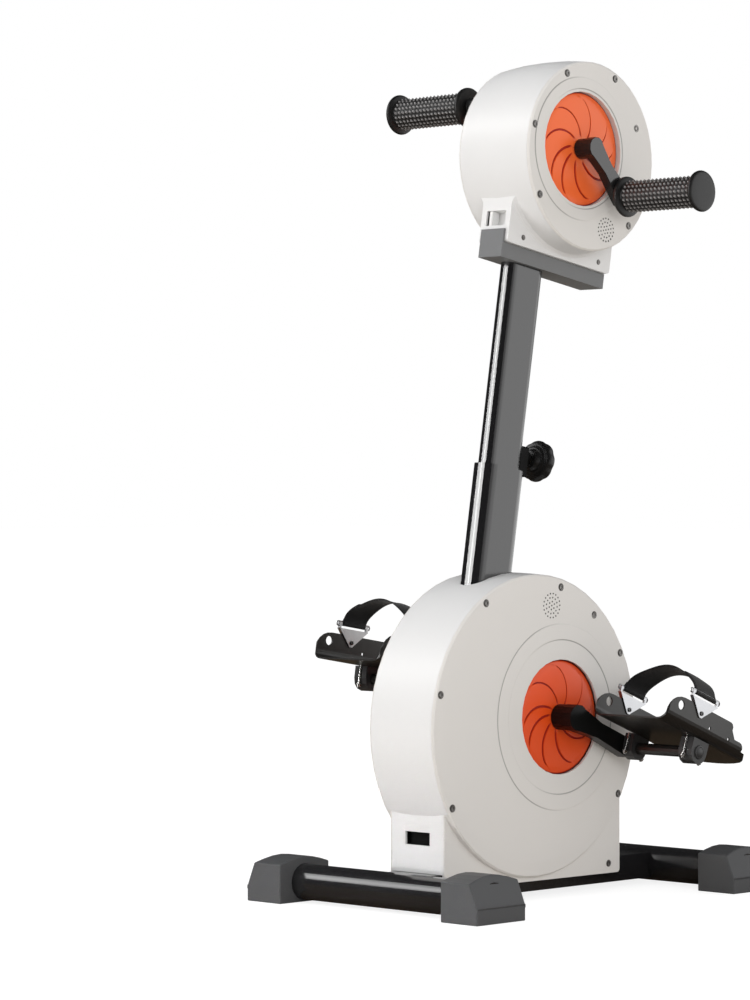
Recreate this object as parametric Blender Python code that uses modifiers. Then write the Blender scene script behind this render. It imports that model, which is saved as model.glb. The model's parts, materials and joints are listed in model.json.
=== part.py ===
# Arm and leg pedal exerciser: two crank drums on a leaning telescopic post.
# Metres, +Z up. X runs along the crank axles, the front of the machine faces -Y and the
# user sits on the +Y side. The origin is on the floor under the middle of the machine.
import math

import bmesh
import bpy
from mathutils import Matrix, Vector

# Clearances, and how far a cutter runs past what it cuts
SEAT_GAP = 0.0003
RUN_GAP = 0.0005
OVERSHOOT = 0.01
# Joined shapes sink this far into each other, so that no faces coincide
SINK = 0.0001

# Base frame
FOOT_SPACING = 0.4404
FOOT_SPAN = 0.359
TUBE_RADIUS = 0.0207
TUBE_WALL = 0.002
TUBE_HEIGHT = 0.0229
CAP_WIDTH = 0.0545
CAP_LENGTH = 0.0784
CAP_SIDE_HEIGHT = 0.0444
CAP_CROWN_HEIGHT = 0.052
CAP_TOE_HEIGHT = 0.0175
CAP_TOE_SLOPE = 0.0114
CAP_SOCKET_DEPTH = 0.044
BEAM_WIDTH = 0.066
BEAM_HEIGHT = 0.030
BEAM_TOP = 0.0374
BEAM_WALL = 0.002

# Lower drum
LOWER_AXIS_Y = 0.0224
LOWER_AXIS_Z = 0.208
LOWER_DRUM_OFFSET_Y = -0.0402
LOWER_DRUM_OFFSET_Z = -0.0085
LOWER_DRUM_RADIUS = 0.1742
LOWER_DRUM_HALF_WIDTH = 0.0506
LOWER_DRUM_CROWN = 0.002
LOWER_BLOCK_HALF_WIDTH = 0.0418
LOWER_BLOCK_FLARE = 0.0070
LOWER_BLOCK_FRONT = -0.1466
LOWER_BLOCK_REAR = 0.1471
LOWER_BLOCK_BOTTOM = -0.1787
LOWER_COVE = 0.0
LOWER_DISC_SINK = 0.0020

# Upper drum, in the post's own leaning frame
UPPER_AXIS_BACK = 0.0218
UPPER_AXIS_RISE = 0.1248
UPPER_DRUM_OFFSET_BACK = 0.0170
UPPER_DRUM_OFFSET_RISE = -0.0048
UPPER_DRUM_RADIUS = 0.1104
UPPER_DRUM_HALF_WIDTH = 0.0555
UPPER_DRUM_CROWN = 0.0036
UPPER_BLOCK_HALF_WIDTH = 0.0225
UPPER_BLOCK_FLARE = 0.0
UPPER_BLOCK_FRONT = -0.0916
UPPER_BLOCK_REAR = 0.0896
UPPER_COVE = 0.014
UPPER_DISC_SINK = 0.0036

# Housing shells
SHELL_WALL = 0.003
COVER_EDGE = 0.0034
FACE_BAND = 0.017
FACE_DROP = 0.0005
EDGE_RADIUS = 0.0018
BLOCK_CORNER = 0.004
COVE_START = 25
COVE_END = 80
DRUM_SIDES = 48
HOLLOW_SIDES = 24
DISC_SIDES = 32
ROUND_SIDES = 20
GRIP_SIDES = 14
PULLEY_SIDES = 16
SMALL_SIDES = 12

# Swirl discs
DISC_RADIUS = 0.0662
DISC_THICKNESS = 0.0040
SLOT_COUNT = 9
SLOT_WIDTH = 0.0012
SLOT_DEPTH = 0.0013
SLOT_START_RADIUS = 0.0166
SLOT_END_RADIUS = 0.0595
# Degrees that a slot turns on its way out, and the share of them that it makes near the rim
SLOT_SWEEP = 42
SLOT_HOOK = 0.17
SLOT_STEPS = 3

# Lower crank, pedals
AXLE_END_SHORT = 0.006
LOWER_AXLE_RADIUS = 0.008
LOWER_CRANK_RADIUS = 0.0967
LOWER_CRANK_ANGLE = -23.7
LOWER_HUB_RADIUS = 0.0155
LOWER_ARM_STANDOFF = 0.0124
LOWER_ARM_THICKNESS = 0.016
LOWER_ARM_WAIST = 0.0092
LOWER_ARM_END_RADIUS = 0.0112
# An arm is narrowest at this share of its reach
ARM_NECK = 0.42
PEDAL_PIN_RADIUS = 0.005
PEDAL_PIN_INSET = 0.0058
PEDAL_TUBE_RADIUS = 0.0068
PEDAL_CLEARANCE_X = 0.0021
PIN_TIP = 0.0012
TRAY_WIDTH = 0.1102
TRAY_SHEET = 0.002
TRAY_FLOOR = 0.0146
TRAY_BEND = 0.012
TRAY_TOE = -0.079
TRAY_HEEL = 0.094
TRAY_SIDE_HEEL = 0.066
TRAY_WING_TOP = 0.0485
TOE_LOBE_RADIUS = 0.026
WING_TOP_END = 0.0355
WING_CORNER = 0.006
WING_STEP_START = 0.0485
WING_STEP_TOP = 0.0315
WING_STEP_RADIUS = 0.007
HEEL_LIP = 0.004
SOLE_CORNER = 0.006
HEEL_ROUND_BACK = 0.002
TOE_HOLE = (-0.057, 0.0385)
TOE_HOLE_RADIUS = 0.0056
WING_HOLES = ((0.001, 0.0295), (0.0375, 0.0285))
WING_HOLE_RADIUS = 0.0022
RIGHT_PEDAL_PITCH = 21.0
LEFT_PEDAL_PITCH = 9.0
CLAMP_WIDTH = 0.028
INNER_CLAMP_THICKNESS = 0.0135
OUTER_CLAMP_THICKNESS = 0.0195
INNER_CLAMP_START = 0.0022
BUCKLE_SHEET = 0.0012
BUCKLE_FRONT = -0.043
BUCKLE_REAR = 0.005
BUCKLE_RIVET = (-0.0215, 0.0400)
BUCKLE_SHOULDER = 0.0555
BUCKLE_TOP = 0.0625
BUCKLE_BAR = 0.003
BUCKLE_TIP_RADIUS = 0.0055
RIVET_RADIUS = 0.0022
RIVET_HEAD = 0.0006
STRAP_WIDTH = 0.038
STRAP_THICKNESS = 0.0022
STRAP_CREST = 0.0912
STRAP_FLANK = 1.25

# Drive train in the lower drum
SUPPORT_PLATE_X = 0.024
SUPPORT_PLATE = 0.004
BEARING_RADIUS = 0.016
BEARING_WIDTH = 0.009
PULLEY_X = 0.036
PULLEY_WIDTH = 0.012
PULLEY_RADIUS = 0.056
PULLEY_FLANGE = 0.002
PULLEY_FLANGE_THICKNESS = 0.001
MOTOR_BACK = 0.070
MOTOR_DROP = 0.112
MOTOR_RADIUS = 0.030
MOTOR_SHAFT_RADIUS = 0.004
MOTOR_SHAFT_DEPTH = 0.018
MOTOR_SHAFT_ROOM = 0.020
SUPPORT_HEAD_WALL = 0.012
MOTOR_PULLEY_RADIUS = 0.011
BELT_THICKNESS = 0.0016
BELT_STEPS = 12
INLET_WIDTH = 0.038
INLET_HEIGHT = 0.015
INLET_Z = 0.0765
INLET_DEPTH = 0.005
INLET_BODY_DEPTH = 0.014
INLET_RIM = 0.002
BOARD_X = -0.026
BOARD_FRONT = -0.165
BOARD_LENGTH = 0.075
BOARD_HEIGHT = 0.070
BOARD_THICKNESS = 0.0016
# The board's chips: start along the board, length and height off it
BOARD_CHIPS = ((0.010, 0.020, 0.010), (0.040, 0.012, 0.006), (0.059, 0.010, 0.008))
CHIP_LOW = 0.020
CHIP_RISE = 0.025

# Post, leaning from the beam towards the user
POST_LEAN = 9.6
POST_FOOT_Y = -0.1124
MAST_WIDTH = 0.061
MAST_DEPTH = 0.023
MAST_WALL = 0.002
BUSH_WALL = 0.0018
BUSH_HEIGHT = 0.045
BUSH_BELOW_TOP = 0.001
SLEEVE_WALL = 0.002
SLEEVE_TOP = 0.504
MAST_INSERT = 0.190
GLIDE_HEIGHT = 0.030
HEAD_SEAT = 0.759
BRACKET_REAR_SHORT = 0.0028
BRACKET_WIDTH = 0.0354
BRACKET_HEIGHT = 0.018
BRACKET_FRONT_RISE = 0.0151
BRACKET_SHEET = 0.003
POCKET_WIDTH = 0.030
POCKET_LOW = 0.0198
POCKET_HIGH = 0.0375
POCKET_DEPTH = 0.010
POCKET_RIM = 0.0014

# Lock screw on the back of the sleeve
LOCK_ABOVE_SLEEVE = 0.0185
LOCK_PLATE_OUTER = 0.0385
LOCK_PLATE_SADDLE = 0.006
LOCK_PLATE_HALF_WIDTH = 0.0095
LOCK_PLATE_LAP = 0.005
LOCK_PLATE_ABOVE = 0.0115
LOCK_NUT_RADIUS = 0.009
LOCK_NUT_END = 0.0445
LOCK_BOLT_RADIUS = 0.005
LOCK_BOLT_END = 0.066
KNOB_HUB_START = 0.0495
KNOB_GRIP_START = 0.0570
KNOB_END = 0.0710
KNOB_BEVEL = 0.0035
KNOB_RADIUS = 0.0238
KNOB_LOBES = 8
POINTS_PER_LOBE = 3
KNOB_LOBE_DEPTH = 0.0022
KNOB_HUB_RADIUS = 0.0115

# Upper crank and grips
UPPER_AXLE_RADIUS = 0.007
UPPER_CRANK_RADIUS = 0.073
UPPER_CRANK_ANGLE = -48.2
UPPER_HUB_RADIUS = 0.0125
UPPER_ARM_STANDOFF = 0.0095
UPPER_ARM_THICKNESS = 0.012
UPPER_ARM_WAIST = 0.0078
UPPER_ARM_END_RADIUS = 0.0115
GRIP_PIN_RADIUS = 0.006
GRIP_PIN_LENGTH = 0.104
GRIP_CLEARANCE = 0.0012
GRIP_LENGTH = 0.118
GRIP_RADIUS = 0.0172
GRIP_FLANGE_RADIUS = 0.0238
GRIP_FLANGE_THICKNESS = 0.006
GEAR_RADIUS = 0.036
GEAR_HALF_WIDTH = 0.019
GEAR_BOSS_RADIUS = 0.019
GEAR_BOSS_HALF_WIDTH = 0.027
GEAR_FOOT_HALF = 0.016
UPPER_BEARING_RADIUS = 0.014
UPPER_BEARING_WIDTH = 0.007

# The pedal's pin stops short of the tray's outer side
PEDAL_PIN_LENGTH = PEDAL_CLEARANCE_X + TRAY_WIDTH - PEDAL_PIN_INSET

# The lock screw's height, measured up the post
LOCK_RISE = SLEEVE_TOP + LOCK_ABOVE_SLEEVE

# Where the discs and arms lie, counted from the middle plane
LOWER_DISC_X = LOWER_DRUM_HALF_WIDTH - LOWER_DISC_SINK
UPPER_DISC_X = UPPER_DRUM_HALF_WIDTH - UPPER_DISC_SINK
LOWER_ARM_OUTER_X = LOWER_DRUM_HALF_WIDTH + LOWER_ARM_STANDOFF + LOWER_ARM_THICKNESS
UPPER_ARM_OUTER_X = UPPER_DRUM_HALF_WIDTH + UPPER_ARM_STANDOFF + UPPER_ARM_THICKNESS

# Local +Z of an outline or turned piece becomes +X, local X and Y become Y and Z
ALONG_X = Matrix(((0, 0, 1, 0), (1, 0, 0, 0), (0, 1, 0, 0), (0, 0, 0, 1)))
# The same, laid along Y: local Z becomes +Y, local X and Y become Z and X
ALONG_Y = Matrix(((0, 1, 0, 0), (0, 0, 1, 0), (1, 0, 0, 0), (0, 0, 0, 1)))
UPRIGHT = Matrix.Identity(4)


# Scene helpers

def clear_scene():
    for obj in list(bpy.data.objects):
        bpy.data.objects.remove(obj)


def new_collection(name):
    collection = bpy.data.collections.new(name)
    bpy.context.scene.collection.children.link(collection)
    return collection


def material(name, colour, roughness, metallic=0.0):
    mat = bpy.data.materials.new(name)
    mat.use_nodes = True
    shader = mat.node_tree.nodes["Principled BSDF"]
    shader.inputs["Base Color"].default_value = (*colour, 1.0)
    shader.inputs["Roughness"].default_value = roughness
    shader.inputs["Metallic"].default_value = metallic
    mat.diffuse_color = (*colour, 1.0)
    return mat


def frame(name, location, rotation_x=0.0, parent=None):
    """An empty on a joint's axis, that the pieces of a body hang from."""
    empty = bpy.data.objects.new(name, None)
    empty.empty_display_size = 0.02
    empty.location = location
    empty.rotation_euler = (rotation_x, 0.0, 0.0)
    empty.parent = parent
    PARTS.objects.link(empty)
    return empty


def add(name, mesh, parent, mat):
    obj = bpy.data.objects.new(name, mesh)
    obj.parent = parent
    mesh.name = name
    mesh.materials.clear()
    mesh.materials.append(mat)
    mesh.shade_smooth()
    mesh.set_sharp_from_angle(angle=math.radians(32))
    PARTS.objects.link(obj)
    return obj


def cutter(mesh, parent):
    obj = bpy.data.objects.new("cutter", mesh)
    obj.parent = parent
    obj.hide_render = True
    obj.display_type = "WIRE"
    CUTTERS.objects.link(obj)
    return obj


def boolean(obj, operation, mesh, parent=None):
    """Cut, join or intersect obj with a mesh given in the same frame."""
    modifier = obj.modifiers.new(operation.lower(), "BOOLEAN")
    modifier.operation = operation
    modifier.solver = "EXACT"
    modifier.object = cutter(mesh, parent or obj.parent)


def cut(obj, mesh, parent=None):
    boolean(obj, "DIFFERENCE", mesh, parent)


def join(obj, mesh, parent=None):
    boolean(obj, "UNION", mesh, parent)


def bevel(obj, width, segments=1, angle=40):
    modifier = obj.modifiers.new("bevel", "BEVEL")
    modifier.width = width
    modifier.segments = segments
    modifier.limit_method = "ANGLE"
    modifier.angle_limit = math.radians(angle)


# Mesh helpers

def cleaned(bm, turn=None, outward=True):
    """The mesh of a bmesh, welded and turned. A hollow body keeps the faces of its cavity."""
    bmesh.ops.remove_doubles(bm, verts=bm.verts, dist=0.00001)
    if outward:
        bmesh.ops.recalc_face_normals(bm, faces=bm.faces)
    if turn:
        bmesh.ops.transform(bm, matrix=turn, verts=bm.verts)
    mesh = bpy.data.meshes.new("mesh")
    bm.to_mesh(mesh)
    bm.free()
    return mesh


def block(low, high):
    """A box between two corners."""
    bm = bmesh.new()
    bmesh.ops.create_cube(bm, size=1.0)
    low = Vector(low)
    size = Vector(high) - low
    bmesh.ops.scale(bm, vec=size, verts=bm.verts)
    bmesh.ops.translate(bm, vec=low + size / 2, verts=bm.verts)
    return cleaned(bm)


def rod(radius, start, end, centre=(0.0, 0.0), turn=ALONG_X, sides=ROUND_SIDES, end_radius=None):
    """A cylinder or cone from start to end along its axis, centred beside that axis."""
    bm = bmesh.new()
    tip = radius if end_radius is None else end_radius
    bmesh.ops.create_cone(bm, cap_ends=True, segments=sides, radius1=radius, radius2=tip,
                          depth=end - start)
    bmesh.ops.translate(bm, vec=(centre[0], centre[1], (start + end) / 2), verts=bm.verts)
    return cleaned(bm, turn)


def evaluated_mesh(obj, turn, outward=True):
    bpy.context.view_layer.update()
    depsgraph = bpy.context.evaluated_depsgraph_get()
    mesh = bpy.data.meshes.new_from_object(obj.evaluated_get(depsgraph))
    bpy.data.objects.remove(obj)
    bm = bmesh.new()
    bm.from_mesh(mesh)
    bpy.data.meshes.remove(mesh)
    return cleaned(bm, turn, outward)


def turned(profile, centre=(0.0, 0.0), turn=ALONG_X, sides=ROUND_SIDES, closed=False):
    """A profile of (radius, height) points, spun by a Screw modifier. It runs down its outer side."""
    mesh = bpy.data.meshes.new("profile")
    edges = [(i, i + 1) for i in range(len(profile) - 1)]
    if closed:
        edges.append((len(profile) - 1, 0))
    mesh.from_pydata([(radius, 0.0, height) for radius, height in profile], edges, [])
    obj = bpy.data.objects.new("turned", mesh)
    bpy.context.scene.collection.objects.link(obj)
    screw = obj.modifiers.new("screw", "SCREW")
    screw.steps = sides
    screw.render_steps = sides
    screw.use_merge_vertices = True
    screw.merge_threshold = 0.00001
    return evaluated_mesh(obj, turn @ Matrix.Translation((centre[0], centre[1], 0.0)))


def ring(outer, inner, start, end, centre=(0.0, 0.0), turn=ALONG_X, sides=ROUND_SIDES):
    profile = [(inner, end), (outer, end), (outer, start), (inner, start)]
    return turned(profile, centre, turn, sides, closed=True)


def plate(loops, start, end, turn=ALONG_X):
    """Flat outlines, filled as a 2D curve, from start to end along the plate's normal.
    A loop inside another is a hole."""
    curve = bpy.data.curves.new("outline", "CURVE")
    curve.dimensions = "2D"
    curve.fill_mode = "BOTH"
    curve.extrude = (end - start) / 2
    for loop in loops:
        spline = curve.splines.new("POLY")
        spline.points.add(len(loop) - 1)
        spline.use_cyclic_u = True
        for point, (x, y) in zip(spline.points, loop):
            point.co = (x, y, 0.0, 1.0)
    obj = bpy.data.objects.new("outline", curve)
    bpy.context.scene.collection.objects.link(obj)
    lift = Matrix.Translation((0.0, 0.0, (start + end) / 2))
    mesh = evaluated_mesh(obj, turn @ lift)
    bpy.data.curves.remove(curve)
    return mesh


def combined(mesh, operation, other):
    """A Boolean of two loose meshes."""
    obj = bpy.data.objects.new("combined", mesh)
    tool = bpy.data.objects.new("tool", other)
    for piece in (obj, tool):
        bpy.context.scene.collection.objects.link(piece)
    modifier = obj.modifiers.new("combine", "BOOLEAN")
    modifier.operation = operation
    modifier.solver = "EXACT"
    modifier.object = tool
    result = evaluated_mesh(obj, UPRIGHT, outward=False)
    bpy.data.objects.remove(tool)
    return result


def arc(centre, radius, start, end, steps):
    """Points on an arc, angles in degrees."""
    points = []
    for i in range(steps + 1):
        angle = math.radians(start + (end - start) * i / steps)
        points.append((centre[0] + radius * math.cos(angle), centre[1] + radius * math.sin(angle)))
    return points


def flat_oval(width, depth, steps=6):
    """A flat-sided oval, its long way along Y."""
    radius = depth / 2
    straight = width / 2 - radius
    return arc((0.0, straight), radius, 0, 180, steps) + arc((0.0, -straight), radius, 180, 360, steps)


def circle(radius, sides=ROUND_SIDES, centre=(0.0, 0.0)):
    return arc(centre, radius, 0, 360, sides)[:-1]


def rectangle(left, right, low, high):
    return [(left, low), (right, low), (right, high), (left, high)]


def hull(first, first_radius, second, second_radius, steps=8):
    """The outline of a belt round two circles."""
    span = math.dist(first, second)
    heading = math.degrees(math.atan2(second[1] - first[1], second[0] - first[0]))
    spread = math.degrees(math.acos((first_radius - second_radius) / span))
    points = arc(second, second_radius, heading - spread, heading + spread, steps)
    points += arc(first, first_radius, heading + spread, heading + 360 - spread, steps)
    return points


# Housings: a white rim band between two side covers, round a drum with a foot block

class Drum:
    """The sizes of one drum, its crank axis at the middle of its own (back, up) plane."""

    def __init__(self, centre, radius, half_width, crown, block_half_width, flare, front, rear, bottom, floor,
                 cove):
        self.centre = centre
        self.radius = radius
        self.half_width = half_width
        self.crown = crown
        self.block_half_width = block_half_width
        self.flare = flare
        self.front = front
        self.rear = rear
        self.bottom = bottom
        self.floor = floor
        self.cove = cove

    def height_on_circle(self, back):
        reach = back - self.centre[0]
        return self.centre[1] - math.sqrt(self.radius ** 2 - reach ** 2)

    def flared(self, mesh):
        """The block's meshes grow wider by the flare from front to rear."""
        for vert in mesh.vertices:
            share = (vert.co.y - self.front) / (self.rear - self.front)
            vert.co.x += math.copysign(self.flare * share, vert.co.x)
        return mesh

    def round_body(self):
        """The drum itself: a crowned rim, and a slightly sloping band round each face."""
        width = self.half_width
        low = width - FACE_DROP
        half = [(0.0, width), (self.radius - FACE_BAND, width), (self.radius - EDGE_RADIUS, low),
                (self.radius, low - EDGE_RADIUS), (self.radius + self.crown * 0.75, width / 2)]
        middle = [(self.radius + self.crown, 0.0)]
        return turned(half + middle + mirrored(half), self.centre, sides=DRUM_SIDES)

    def foot_block(self):
        corner = BLOCK_CORNER
        outline = [(self.rear, self.centre[1]), (self.front, self.centre[1])]
        outline += arc((self.front + corner, self.bottom + corner), corner, 180, 270, 3)
        outline += arc((self.rear - corner, self.bottom + corner), corner, 270, 360, 3)
        return self.flared(plate([outline], -self.block_half_width, self.block_half_width))

    def cove_ring(self):
        """The hollow curve from the drum's sides down to the narrower block."""
        depth = self.half_width - FACE_DROP - EDGE_RADIUS - self.block_half_width
        foot = self.block_half_width - 0.0012
        first = math.cos(math.radians(COVE_START))
        half = []
        for back, up in arc((0.0, 0.0), 1.0, COVE_START, COVE_END, 4):
            half.append((self.radius - 0.002 + self.cove * (first - back), foot + depth * (1 - up)))
        half.insert(0, (0.0, half[0][1]))
        ring_mesh = turned(half + mirrored(half), self.centre, sides=DRUM_SIDES)
        wide = self.half_width * 1.2
        inset = 0.0001
        trim = block((-wide, self.front + inset, self.bottom + BLOCK_CORNER),
                     (wide, self.rear - inset, self.centre[1]))
        return combined(ring_mesh, "INTERSECT", trim)

    def hollow(self):
        """The space inside, above the block's floor."""
        radius = self.radius - SHELL_WALL
        width = self.half_width - SHELL_WALL
        block_width = self.block_half_width - SHELL_WALL
        inside = self.flared(block((-block_width, self.front + SHELL_WALL, self.floor),
                                   (block_width, self.rear - SHELL_WALL, self.centre[1])))
        space = combined(rod(radius, -width, width, self.centre, sides=HOLLOW_SIDES), "UNION", inside)
        deep = self.centre[1] - radius * 1.5
        below = block((-radius, self.centre[0] - radius, deep), (radius, self.centre[0] + radius, self.floor))
        return combined(space, "DIFFERENCE", below)

    def shell(self):
        solid = combined(self.round_body(), "UNION", self.foot_block())
        if self.cove:
            solid = combined(solid, "UNION", self.cove_ring())
        return combined(solid, "DIFFERENCE", self.hollow())

    def cover_region(self, side, gap):
        """Where a side cover is: past the rim's edge. Without a cove it has the block's side too."""
        start = self.half_width - COVER_EDGE - gap
        far = self.half_width * 2
        reach = self.radius * 1.5
        whole = rectangle(self.centre[0] - reach, self.centre[0] + reach,
                          self.centre[1] - reach, self.centre[1] + reach)
        wide = plate([whole], *sorted((side * start, side * far)))
        if self.cove:
            return wide
        low = self.block_half_width - COVER_EDGE - gap
        margin = self.radius * 0.3
        lower = [(self.front - margin, self.bottom - margin), (self.rear + margin, self.bottom - margin),
                 (self.rear + margin, self.height_on_circle(self.rear) + gap),
                 (self.front - margin, self.height_on_circle(self.front) + gap)]
        beside = self.flared(plate([lower], *sorted((side * low, side * far * 1.1))))
        return combined(wide, "UNION", beside)


def mirrored(half):
    return [(radius, -width) for radius, width in reversed(half)]


def housing(drum, prefix, parent):
    """The rim shell and both side covers of one drum, split from the same hollow shell."""
    shell = drum.shell()
    rim_mesh = shell.copy()
    for side in (1, -1):
        rim_mesh = combined(rim_mesh, "DIFFERENCE", drum.cover_region(side, SEAT_GAP))
    rim = add(prefix + "_rim_shell", rim_mesh, parent, WHITE_PLASTIC)
    covers = []
    for side, name in ((-1, "left"), (1, "right")):
        cover_mesh = combined(shell.copy(), "INTERSECT", drum.cover_region(side, 0.0))
        cover = add(f"{prefix}_side_cover_{name}", cover_mesh, parent, GREY_PLASTIC)
        opening = span_rod(DISC_RADIUS + RUN_GAP, 0.0, drum.half_width * 1.5, side, (0.0, 0.0), DISC_SIDES)
        cut(cover, opening)
        covers.append(cover)
    return rim, covers


def span_rod(radius, start, end, side, centre, sides):
    """A rod between two distances from the middle plane, on the left or the right."""
    low, high = sorted((side * start, side * end))
    return rod(radius, low, high, centre, sides=sides)


# Base

def foot_cap(name, side, y):
    """A moulded end cap: an arched bar, its outer end sloped back above the toe."""
    half = CAP_LENGTH / 2
    steps = 6
    crown = [(y + half - CAP_LENGTH * i / steps,
              CAP_SIDE_HEIGHT + (CAP_CROWN_HEIGHT - CAP_SIDE_HEIGHT) * math.sin(math.pi * i / steps))
             for i in range(1, steps)]
    section = [(y - half, 0.0), (y + half, 0.0), (y + half, CAP_SIDE_HEIGHT)] + crown
    section.append((y - half, CAP_SIDE_HEIGHT))
    end = FOOT_SPAN / 2
    low, high = sorted((side * (end - CAP_WIDTH), side * end))
    cap = add(name, plate([section], low, high), None, FOOT_PLASTIC)
    slope = CAP_TOE_SLOPE / (CAP_SIDE_HEIGHT - CAP_TOE_HEIGHT)
    top = CAP_CROWN_HEIGHT * 1.5
    wedge = [(side * end, CAP_TOE_HEIGHT), (side * (end - slope * (top - CAP_TOE_HEIGHT)), top),
             (side * (end + slope * top), top)]
    if side < 0:
        wedge.reverse()
    cut(cap, plate([[(z, x) for x, z in wedge]], y - half * 1.2, y + half * 1.2, ALONG_Y))
    bevel(cap, 0.0016, 1, 30)
    socket = TUBE_RADIUS + SEAT_GAP
    inner = end - CAP_WIDTH
    cut(cap, span_rod(socket, inner - SEAT_GAP, inner + CAP_SOCKET_DEPTH, side, (y, TUBE_HEIGHT),
                      ROUND_SIDES))
    return cap


def base_frame():
    reach = FOOT_SPAN / 2 - CAP_WIDTH + CAP_SOCKET_DEPTH - SEAT_GAP
    for name, y in (("front", -FOOT_SPACING / 2), ("rear", FOOT_SPACING / 2)):
        tube = ring(TUBE_RADIUS, TUBE_RADIUS - TUBE_WALL, -reach, reach, (y, TUBE_HEIGHT))
        add(f"{name}_foot_tube", tube, None, BLACK_TUBE)
        for side_name, side in (("left", -1), ("right", 1)):
            foot_cap(f"foot_cap_{name}_{side_name}", side, y)
    half = BEAM_WIDTH / 2
    outline = rectangle(-half, half, BEAM_TOP - BEAM_HEIGHT, BEAM_TOP)
    inside = rectangle(-half + BEAM_WALL, half - BEAM_WALL,
                       BEAM_TOP - BEAM_HEIGHT + BEAM_WALL, BEAM_TOP - BEAM_WALL)
    loops = [[(z, x) for x, z in loop] for loop in (outline, inside)]
    beam = add("base_beam", plate(loops, -FOOT_SPACING / 2, FOOT_SPACING / 2, ALONG_Y), None, STEEL_GREY)
    for y in (-FOOT_SPACING / 2, FOOT_SPACING / 2):
        cut(beam, rod(TUBE_RADIUS + SEAT_GAP, -BEAM_WIDTH, BEAM_WIDTH, (y, TUBE_HEIGHT), sides=ROUND_SIDES))


# Lower drum

def lower_drum():
    beam_top = BEAM_TOP + SEAT_GAP - LOWER_AXIS_Z
    drum = Drum((LOWER_DRUM_OFFSET_Y, LOWER_DRUM_OFFSET_Z), LOWER_DRUM_RADIUS, LOWER_DRUM_HALF_WIDTH,
                LOWER_DRUM_CROWN, LOWER_BLOCK_HALF_WIDTH, LOWER_BLOCK_FLARE,
                LOWER_DRUM_OFFSET_Y + LOWER_BLOCK_FRONT,
                LOWER_DRUM_OFFSET_Y + LOWER_BLOCK_REAR, LOWER_DRUM_OFFSET_Z + LOWER_BLOCK_BOTTOM,
                beam_top + SHELL_WALL, LOWER_COVE)
    home = frame("lower_housing", (0.0, LOWER_AXIS_Y, LOWER_AXIS_Z))
    rim, covers = housing(drum, "lower", home)
    # The band stands on the beam, and the covers hang down past its sides
    inner = LOWER_BLOCK_HALF_WIDTH - SHELL_WALL
    deep = LOWER_DRUM_RADIUS * 1.5
    for piece in [rim] + covers:
        cut(piece, block((-inner, -deep, -deep), (inner, deep, beam_top)))
    post_hole = plate([flat_oval(sleeve_width() + 2 * SEAT_GAP, sleeve_depth() + 2 * SEAT_GAP)],
                      0.0, SLEEVE_TOP, UPRIGHT)
    cut(rim, post_hole, POST)
    inlet_z = INLET_Z - LOWER_AXIS_Z
    half_w = INLET_WIDTH / 2
    half_h = INLET_HEIGHT / 2
    cut(rim, block((-half_w, drum.front - OVERSHOOT, inlet_z - half_h),
                   (half_w, drum.front + SHELL_WALL * 2, inlet_z + half_h)))
    back = drum.front + SHELL_WALL + SEAT_GAP
    inlet = add("power_inlet", block((-half_w - INLET_RIM, back, inlet_z - half_h - INLET_RIM),
                                     (half_w + INLET_RIM, back + INLET_BODY_DEPTH,
                                      inlet_z + half_h + INLET_RIM)), home, BLACK_PLASTIC)
    cut(inlet, block((-half_w, back - OVERSHOOT, inlet_z - half_h),
                     (half_w, back + INLET_DEPTH, inlet_z + half_h)))
    drive_train(home, drum.floor + SEAT_GAP)


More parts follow.
